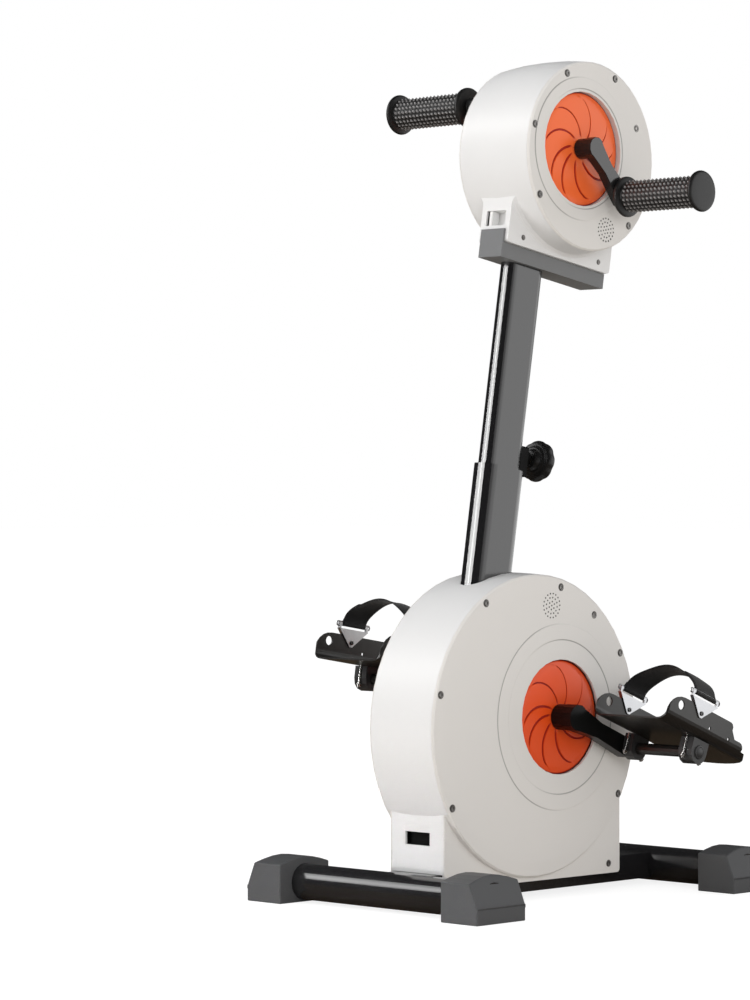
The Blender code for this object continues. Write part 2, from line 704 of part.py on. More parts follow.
def drive_train(home, floor):
    """The crank's carrier, bearings, motor and belt, above the housing's floor."""
    outer = SUPPORT_PLATE_X + SUPPORT_PLATE / 2
    head = BEARING_RADIUS + SUPPORT_HEAD_WALL
    motor = (MOTOR_BACK, -MOTOR_DROP)
    foot = floor + SUPPORT_PLATE
    cheek = arc((0.0, 0.0), head, 40, 180, 8) + [(-head * 1.3, foot), (-head * 1.3, floor)]
    cheek += [(MOTOR_BACK + MOTOR_RADIUS, floor), (MOTOR_BACK + MOTOR_RADIUS, motor[1] + MOTOR_RADIUS)]
    support = add("crank_support", plate([cheek], outer - SUPPORT_PLATE, outer), home, STEEL_GREY)
    join(support, plate([cheek], -outer, -outer + SUPPORT_PLATE))
    join(support, block((-outer + 0.0005, -head * 1.3 + 0.0005, floor),
                        (outer - 0.0005, MOTOR_BACK + MOTOR_RADIUS - 0.0005, floor + SUPPORT_PLATE)))
    cut(support, rod(BEARING_RADIUS + SEAT_GAP, -outer * 2, outer * 2, sides=SMALL_SIDES))
    cut(support, rod(MOTOR_SHAFT_RADIUS + RUN_GAP, 0.0, outer * 2, motor, sides=SMALL_SIDES))
    for side, name in ((-1, "left"), (1, "right")):
        middle = side * SUPPORT_PLATE_X
        bearing = ring(BEARING_RADIUS, LOWER_AXLE_RADIUS + SEAT_GAP,
                       middle - BEARING_WIDTH / 2, middle + BEARING_WIDTH / 2, sides=SMALL_SIDES)
        add(f"lower_bearing_{name}", bearing, home, BRIGHT_STEEL)
    inner = outer - SUPPORT_PLATE
    can = rod(MOTOR_RADIUS, -inner + SEAT_GAP, inner - SEAT_GAP, motor, sides=SMALL_SIDES)
    body = add("lower_motor", can, home, MOTOR_METAL)
    bevel(body, 0.002, 1)
    cut(body, rod(MOTOR_SHAFT_RADIUS + SEAT_GAP, inner - MOTOR_SHAFT_ROOM, inner + MOTOR_SHAFT_ROOM, motor,
                  sides=SMALL_SIDES))
    belt_half = PULLEY_WIDTH / 2 - PULLEY_FLANGE_THICKNESS - SEAT_GAP
    # The belt's flats stay outside the pulleys' corners
    clear = 1 / math.cos(math.radians(120 / BELT_STEPS))
    loops = [hull((0.0, 0.0), (PULLEY_RADIUS + SEAT_GAP + extra) * clear, motor,
                  (MOTOR_PULLEY_RADIUS + SEAT_GAP + extra) * clear, BELT_STEPS)
             for extra in (BELT_THICKNESS, 0.0)]
    add("drive_belt", plate(loops, PULLEY_X - belt_half, PULLEY_X + belt_half), home, RUBBER)
    control_board(home, floor)


def control_board(home, floor):
    """An upright circuit board with three chips on its outer face."""
    half = BOARD_THICKNESS / 2
    board = add("control_board", block((BOARD_X - half, BOARD_FRONT, floor),
                                       (BOARD_X + half, BOARD_FRONT + BOARD_LENGTH, floor + BOARD_HEIGHT)),
                home, BOARD_GREEN)
    for along, length, reach in BOARD_CHIPS:
        low = BOARD_FRONT + along
        join(board, block((BOARD_X - reach, low, floor + CHIP_LOW),
                          (BOARD_X, low + length, floor + CHIP_LOW + CHIP_RISE)))


def flanged_pulley(radius, bore):
    half = PULLEY_WIDTH / 2
    lip = radius + PULLEY_FLANGE
    land = half - PULLEY_FLANGE_THICKNESS
    profile = [(bore, half), (lip, half), (lip, land), (radius, land),
               (radius, -land), (lip, -land), (lip, -half), (bore, -half)]
    return [(r, PULLEY_X + x) for r, x in profile]


def crank_arm(name, parent, side, mat, hub, reach, waist, tip, inner, outer, thickness, pin, pin_end, bore):
    """Hub, arm and the pin that carries the pedal or grip, in one forging."""
    outline = arc((0.0, 0.0), hub, 60, 300, 8) + [(reach * ARM_NECK, -waist)]
    outline += arc((reach, 0.0), tip, -105, 105, 7) + [(reach * ARM_NECK, waist)]
    outline = [(side * along, across) for along, across in outline]
    low, high = sorted((side * (outer - thickness), side * outer))
    arm = add(name, plate([outline], low, high), parent, mat)
    bevel(arm, 0.0014, 1, 60)
    join(arm, span_rod(hub - 0.0006, inner, outer - 0.003, side, (0.0, 0.0), ROUND_SIDES))
    join(arm, span_rod(pin, outer - 0.003, pin_end, side, (side * reach, 0.0), SMALL_SIDES))
    cut(arm, span_rod(bore, inner - 0.002, outer - 0.004, side, (0.0, 0.0), SMALL_SIDES))
    return arm


def slot_outline(angle, side):
    """One slot of a swirl disc: it runs outwards and leans over more and more."""
    edges = ([], [])
    for i in range(SLOT_STEPS + 1):
        share = i / SLOT_STEPS
        radius = SLOT_START_RADIUS + (SLOT_END_RADIUS - SLOT_START_RADIUS) * share
        lean = SLOT_SWEEP * ((1 - SLOT_HOOK) * share + SLOT_HOOK * share ** 4)
        for edge, half in zip(edges, (-SLOT_WIDTH / 2, SLOT_WIDTH / 2)):
            turn = math.radians(angle + lean) + half / radius
            edge.append((side * radius * math.cos(turn), radius * math.sin(turn)))
    return edges[0] + edges[1][::-1]


def swirl_disc(name, parent, side, face, bore):
    """A round cover plate with a swirl of blind slots in its face."""
    start, end = sorted((side * (face - DISC_THICKNESS), side * face))
    disc = add(name, plate([circle(DISC_RADIUS, DISC_SIDES), circle(bore, SMALL_SIDES)], start, end), parent,
               ORANGE_PLASTIC)
    slots = [slot_outline(360 * k / SLOT_COUNT, side) for k in range(SLOT_COUNT)]
    low, high = sorted((side * (face - SLOT_DEPTH), side * (face + OVERSHOOT)))
    cut(disc, plate(slots, low, high))
    return disc


def lower_crank():
    turn = math.radians(LOWER_CRANK_ANGLE)
    crank = frame("lower_crank", (0.0, LOWER_AXIS_Y, LOWER_AXIS_Z), turn)
    axle_end = LOWER_ARM_OUTER_X - AXLE_END_SHORT
    bore = LOWER_AXLE_RADIUS + SEAT_GAP
    axle_mesh = rod(LOWER_AXLE_RADIUS, -axle_end, axle_end, sides=SMALL_SIDES)
    axle = add("lower_crank_axle", axle_mesh, crank, BRIGHT_STEEL)
    bevel(axle, 0.001)
    for side, name in ((-1, "left"), (1, "right")):
        crank_arm(f"lower_crank_arm_{name}", crank, side, BLACK_ENAMEL, hub=LOWER_HUB_RADIUS,
                  reach=LOWER_CRANK_RADIUS, waist=LOWER_ARM_WAIST, tip=LOWER_ARM_END_RADIUS,
                  inner=LOWER_DISC_X + SEAT_GAP, outer=LOWER_ARM_OUTER_X, thickness=LOWER_ARM_THICKNESS,
                  pin=PEDAL_PIN_RADIUS, pin_end=LOWER_ARM_OUTER_X + PEDAL_PIN_LENGTH, bore=bore)
        swirl_disc(f"lower_swirl_disc_{name}", crank, side, LOWER_DISC_X, bore)
    pulley = turned(flanged_pulley(PULLEY_RADIUS, bore), sides=PULLEY_SIDES, closed=True)
    add("drive_pulley", pulley, crank, BLACK_PLASTIC)
    for side, name, pitch in ((-1, "left", LEFT_PEDAL_PITCH), (1, "right", RIGHT_PEDAL_PITCH)):
        pedal(name, side, pitch, crank, turn)
    spin = frame("motor_spin", (0.0, LOWER_AXIS_Y + MOTOR_BACK, LOWER_AXIS_Z - MOTOR_DROP))
    profile = flanged_pulley(MOTOR_PULLEY_RADIUS, 0.0)
    shaft_start = SUPPORT_PLATE_X - SUPPORT_PLATE / 2 - MOTOR_SHAFT_DEPTH
    profile = profile[:-1] + [(MOTOR_SHAFT_RADIUS, profile[-1][1]), (MOTOR_SHAFT_RADIUS, shaft_start),
                              (0.0, shaft_start)]
    add("motor_pulley", turned(profile, sides=SMALL_SIDES), spin, BRIGHT_STEEL)


# Pedals

def tray_section():
    """The bent sheet across the pedal: floor, rounded corners and two upright wings."""
    half = TRAY_WIDTH / 2
    top = TRAY_WING_TOP + OVERSHOOT
    outer_bend = TRAY_BEND
    inner_bend = TRAY_BEND - TRAY_SHEET
    centre = TRAY_FLOOR + TRAY_BEND
    outer = arc((-half + outer_bend, centre), outer_bend, 180, 270, 5)
    outer += arc((half - outer_bend, centre), outer_bend, 270, 360, 5)
    inner = arc((half - outer_bend, centre), inner_bend, 360, 270, 5)
    inner += arc((-half + outer_bend, centre), inner_bend, 270, 180, 5)
    return ([(-half, top)] + outer + [(half, top), (half - TRAY_SHEET, top)] + inner
            + [(-half + TRAY_SHEET, top)])


def wing_outline():
    """Side view of the tray: toe lobe, level top edge, heel notch and rounded heel step."""
    low = TRAY_FLOOR - OVERSHOOT
    past = TRAY_HEEL + OVERSHOOT
    top = TRAY_WING_TOP
    step = WING_STEP_RADIUS
    lobe = TOE_LOBE_RADIUS
    outline = [(TRAY_TOE, low), (past, low), (past, TRAY_FLOOR + HEEL_LIP)]
    outline += arc((TRAY_SIDE_HEEL - step, WING_STEP_TOP - step), step, -20, 90, 4)
    outline.append((WING_STEP_START, WING_STEP_TOP))
    outline += arc((WING_TOP_END, top - WING_CORNER), WING_CORNER, -20, 90, 3)
    outline += arc((TRAY_TOE + lobe, top - lobe), lobe, 90, 180, 6)
    return outline


def sole_outline():
    """Top view of the tray: square toe with small corners and a rounded heel."""
    half = TRAY_WIDTH / 2 + TRAY_SHEET / 2
    corner = SOLE_CORNER
    heel = TRAY_SIDE_HEEL - HEEL_ROUND_BACK
    outline = arc((TRAY_TOE + corner, -half + corner), corner, 180, 270, 3)
    outline += arc((heel, 0.0), half, -90, 90, 12)
    outline += arc((TRAY_TOE + corner, half - corner), corner, 90, 180, 3)
    bulge = TRAY_HEEL - heel
    squashed = []
    for u, x in outline:
        past = u - heel
        squashed.append((heel + past * bulge / half if past > 0 else u, x))
    return squashed


def pedal(name, side, pitch, crank, crank_turn):
    """A foot tray on a tube that spins on the crank's pin. In its frame +Y points to the heel."""
    middle = LOWER_ARM_OUTER_X + PEDAL_CLEARANCE_X + TRAY_WIDTH / 2
    home = frame(f"pedal_{name}", (side * middle, side * LOWER_CRANK_RADIUS, 0.0),
                 -math.radians(pitch) - crank_turn, crank)
    half = TRAY_WIDTH / 2
    tray_mesh = plate([[(v, x) for x, v in tray_section()]], TRAY_TOE - OVERSHOOT, TRAY_HEEL + OVERSHOOT,
                      ALONG_Y)
    tray = add(f"pedal_tray_{name}", tray_mesh, home, BLACK_ENAMEL)
    boolean(tray, "INTERSECT", plate([wing_outline()], -half * 1.1, half * 1.1))
    sole = [(x, u) for u, x in sole_outline()]
    boolean(tray, "INTERSECT", plate([sole], 0.0, TRAY_WING_TOP + 2 * OVERSHOOT, UPRIGHT))
    rivet_hole = RIVET_RADIUS + SEAT_GAP
    holes = ((TOE_HOLE, TOE_HOLE_RADIUS, SMALL_SIDES), (BUCKLE_RIVET, rivet_hole, 8),
             (WING_HOLES[0], WING_HOLE_RADIUS, 6), (WING_HOLES[1], WING_HOLE_RADIUS, 6))
    for place, radius, sides in holes:
        cut(tray, rod(radius, -half * 1.2, half * 1.2, place, sides=sides))
    arm_face = half + PEDAL_CLEARANCE_X
    # Distances below are measured from the arm's face outwards
    tube_start = RUN_GAP
    tube_end = PEDAL_PIN_LENGTH - PIN_TIP
    bore = PEDAL_PIN_RADIUS + SEAT_GAP

    def across(distance):
        return side * (distance - arm_face)

    low, high = sorted((across(tube_start), across(tube_end)))
    tube = ring(PEDAL_TUBE_RADIUS, bore, low, high, sides=SMALL_SIDES)
    add(f"pedal_tube_{name}", tube, home, BLACK_ENAMEL)
    seat = TRAY_FLOOR - SEAT_GAP
    wide = CLAMP_WIDTH / 2
    for clamp, start, thickness in (("inner", INNER_CLAMP_START, INNER_CLAMP_THICKNESS),
                                    ("outer", tube_end - OUTER_CLAMP_THICKNESS, OUTER_CLAMP_THICKNESS)):
        outline = [(wide, seat), (-wide, seat)] + arc((0.0, 0.0), wide, 180, 360, 6)
        low, high = sorted((across(start), across(start + thickness)))
        body = add(f"pedal_clamp_{clamp}_{name}", plate([outline], low, high), home, CLAMP_BLACK)
        cut(body, rod(PEDAL_TUBE_RADIUS + SEAT_GAP, low - OVERSHOOT, high + OVERSHOOT, sides=SMALL_SIDES))
    for wing, place in (("inner", -side), ("outer", side)):
        buckle(f"strap_buckle_{wing}_{name}", place * (half - TRAY_SHEET / 2), home)
    strap(f"pedal_strap_{name}", home)


def buckle(name, x, home):
    """A V-shaped plate folded over the wing, riveted through it, with a bar for the strap."""
    inside = TRAY_SHEET / 2 + SEAT_GAP
    outside = inside + BUCKLE_SHEET
    bar = BUCKLE_BAR / 2
    low = BUCKLE_RIVET[1] - BUCKLE_TIP_RADIUS - OVERSHOOT
    bridge = TRAY_WING_TOP + SEAT_GAP * 3
    half = [(bar, BUCKLE_TOP), (bar, BUCKLE_SHOULDER), (outside, BUCKLE_SHOULDER), (outside, low),
            (inside, low), (inside, bridge)]
    section = [(x + v, z) for v, z in half] + [(x - v, z) for v, z in reversed(half)]
    folded = plate([[(z, v) for v, z in section]], BUCKLE_FRONT - OVERSHOOT, BUCKLE_REAR + OVERSHOOT, ALONG_Y)
    body = add(name, folded, home, BUCKLE_STEEL)
    vee = [(BUCKLE_REAR, BUCKLE_TOP + OVERSHOOT), (BUCKLE_FRONT, BUCKLE_TOP + OVERSHOOT),
           (BUCKLE_FRONT, BUCKLE_SHOULDER)]
    vee += arc(BUCKLE_RIVET, BUCKLE_TIP_RADIUS, 205, 335, 3) + [(BUCKLE_REAR, BUCKLE_SHOULDER)]
    boolean(body, "INTERSECT", plate([vee], x - outside * 2, x + outside * 2))
    slot = rectangle(BUCKLE_FRONT + BUCKLE_BAR, BUCKLE_REAR - BUCKLE_BAR,
                     BUCKLE_SHOULDER + SEAT_GAP, BUCKLE_TOP - BUCKLE_BAR)
    cut(body, plate([slot], x - outside * 2, x + outside * 2))
    join(body, rod(RIVET_RADIUS, x - outside - RIVET_HEAD, x + outside + RIVET_HEAD, BUCKLE_RIVET, sides=6))


def strap(name, home):
    """The foot strap, an arch from the inner buckle's bar to the outer one's."""
    bar = BUCKLE_BAR / 2
    reach = TRAY_WIDTH / 2 - TRAY_SHEET / 2 - bar - SEAT_GAP
    foot = BUCKLE_TOP - BUCKLE_BAR
    outline = []
    for inset, direction in ((0.0, 1), (STRAP_THICKNESS, -1)):
        side = [((reach - inset) * math.cos(math.pi * i / 14),
                 foot + (STRAP_CREST - foot - inset) * math.sin(math.pi * i / 14) ** STRAP_FLANK)
                for i in range(15)]
        outline += side[::direction]
    middle = (BUCKLE_FRONT + BUCKLE_REAR) / 2
    mesh = plate([[(v, x) for x, v in outline]], middle - STRAP_WIDTH / 2, middle + STRAP_WIDTH / 2, ALONG_Y)
    add(name, mesh, home, WEBBING)


# Post

def sleeve_width():
    return MAST_WIDTH + 2 * (SEAT_GAP + BUSH_WALL + SEAT_GAP + SLEEVE_WALL)


def sleeve_depth():
    return MAST_DEPTH + 2 * (SEAT_GAP + BUSH_WALL + SEAT_GAP + SLEEVE_WALL)


def post():
    """The sleeve that stands on the beam, and the mast that slides in it."""
    inner = (sleeve_width() - 2 * SLEEVE_WALL, sleeve_depth() - 2 * SLEEVE_WALL)
    sleeve_loops = [flat_oval(sleeve_width(), sleeve_depth()), flat_oval(*inner)]
    sleeve = add("post_sleeve", plate(sleeve_loops, 0.0, SLEEVE_TOP, UPRIGHT), POST, BLACK_TUBE)
    cut(sleeve, block((-0.1, POST_FOOT_Y - 0.2, -0.2), (0.1, POST_FOOT_Y + 0.2, BEAM_TOP + SEAT_GAP)), WORLD)
    bush = (MAST_WIDTH + 2 * SEAT_GAP, MAST_DEPTH + 2 * SEAT_GAP)
    loops = [flat_oval(bush[0] + 2 * BUSH_WALL, bush[1] + 2 * BUSH_WALL), flat_oval(*bush)]
    bush_mesh = plate(loops, SLEEVE_TOP - BUSH_HEIGHT, SLEEVE_TOP - BUSH_BELOW_TOP, UPRIGHT)
    add("sleeve_bush", bush_mesh, POST, BLACK_PLASTIC)
    foot = SLEEVE_TOP - MAST_INSERT
    mast_inner = (MAST_WIDTH - 2 * MAST_WALL, MAST_DEPTH - 2 * MAST_WALL)
    top = HEAD_SEAT - BRACKET_HEIGHT - SEAT_GAP
    loops = [flat_oval(MAST_WIDTH, MAST_DEPTH), flat_oval(*mast_inner)]
    add("mast_tube", plate(loops, foot, top, UPRIGHT), MAST, BLACK_TUBE)
    glide = plate([flat_oval(inner[0] - 2 * SEAT_GAP, inner[1] - 2 * SEAT_GAP)],
                  foot - SEAT_GAP - GLIDE_HEIGHT / 2, foot - SEAT_GAP, UPRIGHT)
    plug = add("mast_glide", glide, MAST, BLACK_PLASTIC)
    join(plug, plate([flat_oval(mast_inner[0] - 2 * SEAT_GAP, mast_inner[1] - 2 * SEAT_GAP)],
                     foot - SEAT_GAP * 2, foot + GLIDE_HEIGHT / 2, UPRIGHT))
    lock_screw()


def lock_screw():
    """A nut block saddled on the sleeve, and the screw that pinches the mast through it."""
    near = MAST_WIDTH / 2 + SEAT_GAP
    plate_low = SLEEVE_TOP - LOCK_PLATE_LAP
    plate_high = LOCK_RISE + LOCK_PLATE_ABOVE
    outline = rectangle(near - LOCK_PLATE_SADDLE, LOCK_PLATE_OUTER, plate_low, plate_high)
    plate_mesh = plate([outline], -LOCK_PLATE_HALF_WIDTH, LOCK_PLATE_HALF_WIDTH)
    bracket = add("lock_bracket", plate_mesh, POST, BLACK_TUBE)
    bevel(bracket, 0.001)
    past = plate_high + OVERSHOOT
    for width, depth, top in ((sleeve_width(), sleeve_depth(), SLEEVE_TOP), (MAST_WIDTH, MAST_DEPTH, past)):
        oval = flat_oval(width + 2 * SEAT_GAP, depth + 2 * SEAT_GAP)
        cut(bracket, plate([oval], plate_low - OVERSHOOT, top + SEAT_GAP, UPRIGHT))
    centre = (LOCK_RISE, 0.0)
    join(bracket, rod(LOCK_NUT_RADIUS, LOCK_PLATE_OUTER - 0.001, LOCK_NUT_END, centre, ALONG_Y, 6))
    cut(bracket, rod(LOCK_BOLT_RADIUS + SEAT_GAP, 0.0, LOCK_NUT_END * 2, centre, ALONG_Y, SMALL_SIDES))
    bolt_mesh = rod(LOCK_BOLT_RADIUS, near, LOCK_BOLT_END, centre, ALONG_Y, SMALL_SIDES)
    bolt = add("lock_bolt", bolt_mesh, LOCK, BRIGHT_STEEL)
    bevel(bolt, 0.0008)
    lobes = []
    count = KNOB_LOBES * POINTS_PER_LOBE
    for i in range(count):
        angle = 2 * math.pi * i / count
        radius = KNOB_RADIUS - KNOB_LOBE_DEPTH * (1 + math.cos(KNOB_LOBES * angle)) / 2
        lobes.append((centre[0] + radius * math.cos(angle), radius * math.sin(angle)))
    knob = add("lock_knob", plate([lobes], KNOB_GRIP_START, KNOB_END, ALONG_Y), LOCK, BLACK_PLASTIC)
    bevel(knob, KNOB_BEVEL, 1, 60)
    join(knob, rod(KNOB_HUB_RADIUS, KNOB_HUB_START, KNOB_GRIP_START + 0.004, centre, ALONG_Y,
                   ROUND_SIDES, KNOB_HUB_RADIUS + 0.003))
    cut(knob, rod(LOCK_BOLT_RADIUS + SEAT_GAP, 0.0, LOCK_BOLT_END + SEAT_GAP, centre, ALONG_Y, SMALL_SIDES))


# Head on top of the mast

def head_bracket(home, block_front, block_rear):
    """The steel channel on the mast that the head is screwed to, its front end turned up."""
    half = BRACKET_WIDTH / 2
    sheet = BRACKET_SHEET
    front = block_front - SEAT_GAP - sheet
    rear = block_rear - BRACKET_REAR_SHORT
    outline = rectangle(front, rear, -BRACKET_HEIGHT, -SEAT_GAP)
    bracket = add("head_bracket", plate([outline], -half, half), home, BRACKET_GREY)
    cut(bracket, block((-half + sheet, front + sheet, -BRACKET_HEIGHT + sheet),
                       (half - sheet, rear + OVERSHOOT, OVERSHOOT)))
    join(bracket, block((-half, front, -BRACKET_HEIGHT + SINK), (half, front + sheet, BRACKET_FRONT_RISE)))


def head():
    home = frame("head", (0.0, 0.0, HEAD_SEAT), 0.0, MAST)
    axis = frame("upper_axis", (0.0, UPPER_AXIS_BACK, UPPER_AXIS_RISE), 0.0, home)
    drum = Drum((UPPER_DRUM_OFFSET_BACK, UPPER_DRUM_OFFSET_RISE), UPPER_DRUM_RADIUS, UPPER_DRUM_HALF_WIDTH,
                UPPER_DRUM_CROWN, UPPER_BLOCK_HALF_WIDTH, UPPER_BLOCK_FLARE,
                UPPER_DRUM_OFFSET_BACK + UPPER_BLOCK_FRONT,
                UPPER_DRUM_OFFSET_BACK + UPPER_BLOCK_REAR, -UPPER_AXIS_RISE,
                SHELL_WALL - UPPER_AXIS_RISE, UPPER_COVE)
    head_bracket(home, UPPER_AXIS_BACK + drum.front, UPPER_AXIS_BACK + drum.rear)
    rim = housing(drum, "upper", axis)[0]
    wide = POCKET_WIDTH / 2
    low = POCKET_LOW - UPPER_AXIS_RISE
    high = POCKET_HIGH - UPPER_AXIS_RISE
    cut(rim, block((-wide, drum.front - OVERSHOOT, low), (wide, drum.front + SHELL_WALL * 2, high)))
    back = drum.front + SHELL_WALL + SEAT_GAP
    edge = POCKET_RIM
    insert = add("upper_port_insert", block((-wide - edge, back, low - edge),
                                            (wide + edge, back + POCKET_DEPTH + edge, high + edge)),
                 axis, WHITE_PLASTIC)
    cut(insert, block((-wide, back - OVERSHOOT, low), (wide, back + POCKET_DEPTH, high)))
    gear_motor(axis)
    upper_crank(axis)


def gear_motor(axis):
    """The gear motor stands on the head's floor and carries the crank axle in two bearings."""
    floor = -UPPER_AXIS_RISE + SHELL_WALL + SEAT_GAP
    body = add("upper_gear_motor", rod(GEAR_RADIUS, -GEAR_HALF_WIDTH, GEAR_HALF_WIDTH, sides=SMALL_SIDES),
               axis, MOTOR_METAL)
    join(body, rod(GEAR_BOSS_RADIUS, -GEAR_BOSS_HALF_WIDTH, GEAR_BOSS_HALF_WIDTH, sides=SMALL_SIDES))
    foot = GEAR_FOOT_HALF
    join(body, block((-foot, -foot * 1.4, floor), (foot, foot * 1.4, 0.0)))
    cut(body, rod(UPPER_AXLE_RADIUS + SEAT_GAP, -0.1, 0.1, sides=SMALL_SIDES))
    for side, name in ((-1, "left"), (1, "right")):
        seat = GEAR_BOSS_HALF_WIDTH - UPPER_BEARING_WIDTH
        cut(body, span_rod(UPPER_BEARING_RADIUS + SEAT_GAP, seat, 0.1, side, (0.0, 0.0), SMALL_SIDES))
        low, high = sorted((side * (seat + SEAT_GAP), side * GEAR_BOSS_HALF_WIDTH))
        bearing = ring(UPPER_BEARING_RADIUS, UPPER_AXLE_RADIUS + SEAT_GAP, low, high, sides=SMALL_SIDES)
        add(f"upper_bearing_{name}", bearing, axis, BRIGHT_STEEL)


def upper_crank(axis):
    turn = math.radians(UPPER_CRANK_ANGLE + POST_LEAN)
    crank = frame("upper_crank", (0.0, 0.0, 0.0), turn, axis)
    axle_end = UPPER_ARM_OUTER_X - AXLE_END_SHORT
    bore = UPPER_AXLE_RADIUS + SEAT_GAP
    axle_mesh = rod(UPPER_AXLE_RADIUS, -axle_end, axle_end, sides=SMALL_SIDES)
    axle = add("upper_crank_axle", axle_mesh, crank, BRIGHT_STEEL)
    bevel(axle, 0.001)
    for side, name in ((-1, "left"), (1, "right")):
        crank_arm(f"upper_crank_arm_{name}", crank, side, DARK_GREY_ENAMEL, hub=UPPER_HUB_RADIUS,
                  reach=UPPER_CRANK_RADIUS, waist=UPPER_ARM_WAIST, tip=UPPER_ARM_END_RADIUS,
                  inner=UPPER_DISC_X + SEAT_GAP, outer=UPPER_ARM_OUTER_X,
                  thickness=UPPER_ARM_THICKNESS, pin=GRIP_PIN_RADIUS,
                  pin_end=UPPER_ARM_OUTER_X + GRIP_PIN_LENGTH, bore=bore)
        swirl_disc(f"upper_swirl_disc_{name}", crank, side, UPPER_DISC_X, bore)
        place = (side * (UPPER_ARM_OUTER_X + GRIP_CLEARANCE), side * UPPER_CRANK_RADIUS, 0.0)
        home = frame(f"grip_{name}", place, 0.0, crank)
        grip = add(f"hand_grip_{name}", turned(grip_profile(side), sides=GRIP_SIDES), home, RUBBER)
        depth = GRIP_PIN_LENGTH - GRIP_CLEARANCE + SEAT_GAP
        cut(grip, span_rod(GRIP_PIN_RADIUS + SEAT_GAP, -OVERSHOOT, depth, side, (0.0, 0.0), SMALL_SIDES))


def grip_profile(side):
    """Half section of the grip, from its outer end to its inner flange."""
    flange = GRIP_FLANGE_RADIUS
    thick = GRIP_FLANGE_THICKNESS
    radius = GRIP_RADIUS
    end = GRIP_LENGTH
    half = [(0.0, end), (flange * 0.6, end - 0.0004), (flange * 0.9, end - 0.0016), (flange, end - 0.0035),
            (flange, end - thick), (radius, end - thick - 0.002), (radius, thick + 0.002), (flange, thick),
            (flange, 0.0015), (flange * 0.94, 0.0), (0.0, 0.0)]
    if side > 0:
        return half
    return mirrored(half)


clear_scene()
PARTS = new_collection("pedal_exerciser")
CUTTERS = new_collection("cutters")

WHITE_PLASTIC = material("white_plastic", (0.84, 0.84, 0.83), 0.38)
GREY_PLASTIC = material("warm_grey_plastic", (0.62, 0.59, 0.56), 0.42)
ORANGE_PLASTIC = material("orange_plastic", (0.75, 0.12, 0.04), 0.35)
BLACK_PLASTIC = material("black_plastic", (0.02, 0.02, 0.02), 0.4)
FOOT_PLASTIC = material("foot_plastic", (0.11, 0.11, 0.12), 0.5)
BLACK_TUBE = material("black_tube", (0.02, 0.02, 0.022), 0.3)
STEEL_GREY = material("grey_steel", (0.30, 0.30, 0.31), 0.4, 0.6)
BRACKET_GREY = material("bracket_grey", (0.15, 0.15, 0.16), 0.45)
BLACK_ENAMEL = material("black_enamel", (0.03, 0.03, 0.03), 0.35)
DARK_GREY_ENAMEL = material("dark_grey_enamel", (0.12, 0.12, 0.12), 0.4)
CLAMP_BLACK = material("clamp_black", (0.06, 0.06, 0.06), 0.45)
BRIGHT_STEEL = material("bright_steel", (0.6, 0.6, 0.6), 0.25, 1.0)
BUCKLE_STEEL = material("buckle_steel", (0.7, 0.7, 0.7), 0.3, 1.0)
MOTOR_METAL = material("motor_metal", (0.4, 0.4, 0.42), 0.35, 0.8)
BOARD_GREEN = material("board_green", (0.03, 0.2, 0.07), 0.4)
RUBBER = material("black_rubber", (0.03, 0.03, 0.03), 0.7)
WEBBING = material("black_webbing", (0.015, 0.015, 0.015), 0.8)

WORLD = frame("machine", (0.0, 0.0, 0.0))
LEAN = -math.radians(POST_LEAN)
POST = frame("post", (0.0, POST_FOOT_Y, 0.0), LEAN)
MAST = frame("mast", (0.0, 0.0, 0.0), 0.0, POST)
LOCK = frame("lock", (0.0, 0.0, 0.0), 0.0, POST)

base_frame()
lower_drum()
lower_crank()
post()
head()
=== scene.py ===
# %% [markdown]
# # An arm and leg pedal exerciser
# Two drums on a leaning post: one turns a pair of foot pedals, the other a pair of hand
# grips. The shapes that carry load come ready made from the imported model. This lesson
# lights them, gives each surface its finish, and builds the pieces that need finer work:
# the slotted discs, the ribbed grips, the webbing straps, the knob and the small fixings.

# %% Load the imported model
import json
import math

import bmesh
import bpy
from mathutils import Matrix, Vector


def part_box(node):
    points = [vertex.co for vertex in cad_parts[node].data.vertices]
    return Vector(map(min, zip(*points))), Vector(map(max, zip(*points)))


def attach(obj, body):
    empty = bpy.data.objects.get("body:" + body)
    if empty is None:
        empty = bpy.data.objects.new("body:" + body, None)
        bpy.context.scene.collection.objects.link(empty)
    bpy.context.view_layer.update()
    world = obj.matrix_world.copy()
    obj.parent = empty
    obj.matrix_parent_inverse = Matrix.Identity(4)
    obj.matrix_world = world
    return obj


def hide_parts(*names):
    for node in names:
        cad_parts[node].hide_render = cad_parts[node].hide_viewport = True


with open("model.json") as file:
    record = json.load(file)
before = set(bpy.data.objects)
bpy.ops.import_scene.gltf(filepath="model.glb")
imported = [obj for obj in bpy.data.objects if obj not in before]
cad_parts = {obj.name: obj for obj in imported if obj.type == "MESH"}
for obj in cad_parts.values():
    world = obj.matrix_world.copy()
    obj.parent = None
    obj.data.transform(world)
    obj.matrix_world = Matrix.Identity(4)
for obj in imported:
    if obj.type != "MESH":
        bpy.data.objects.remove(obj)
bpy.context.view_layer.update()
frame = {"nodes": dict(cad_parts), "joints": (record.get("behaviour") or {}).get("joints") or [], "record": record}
NODES = frame["nodes"]
JOINTS = {joint["name"]: joint for joint in frame["joints"]}

# %% [markdown]
# The places of the moving parts are read from the model's own joints, so nothing is
# measured twice. Each axis is a point in the plane across the crank axles.

# %% Read the axes
LOWER_AXIS = Vector(JOINTS["lower_crank_spin"]["pos_m"])
UPPER_AXIS = Vector(JOINTS["upper_crank_spin"]["pos_m"])
POST_UP = Vector(JOINTS["mast_slide"]["axis"])
LOCK_OUT = Vector(JOINTS["lock_knob_turn"]["axis"])
SIDES = (("left", -1), ("right", 1))
LEAN = math.atan2(POST_UP.y, POST_UP.z)
ALONG_X = (1.0, 0.0, 0.0)
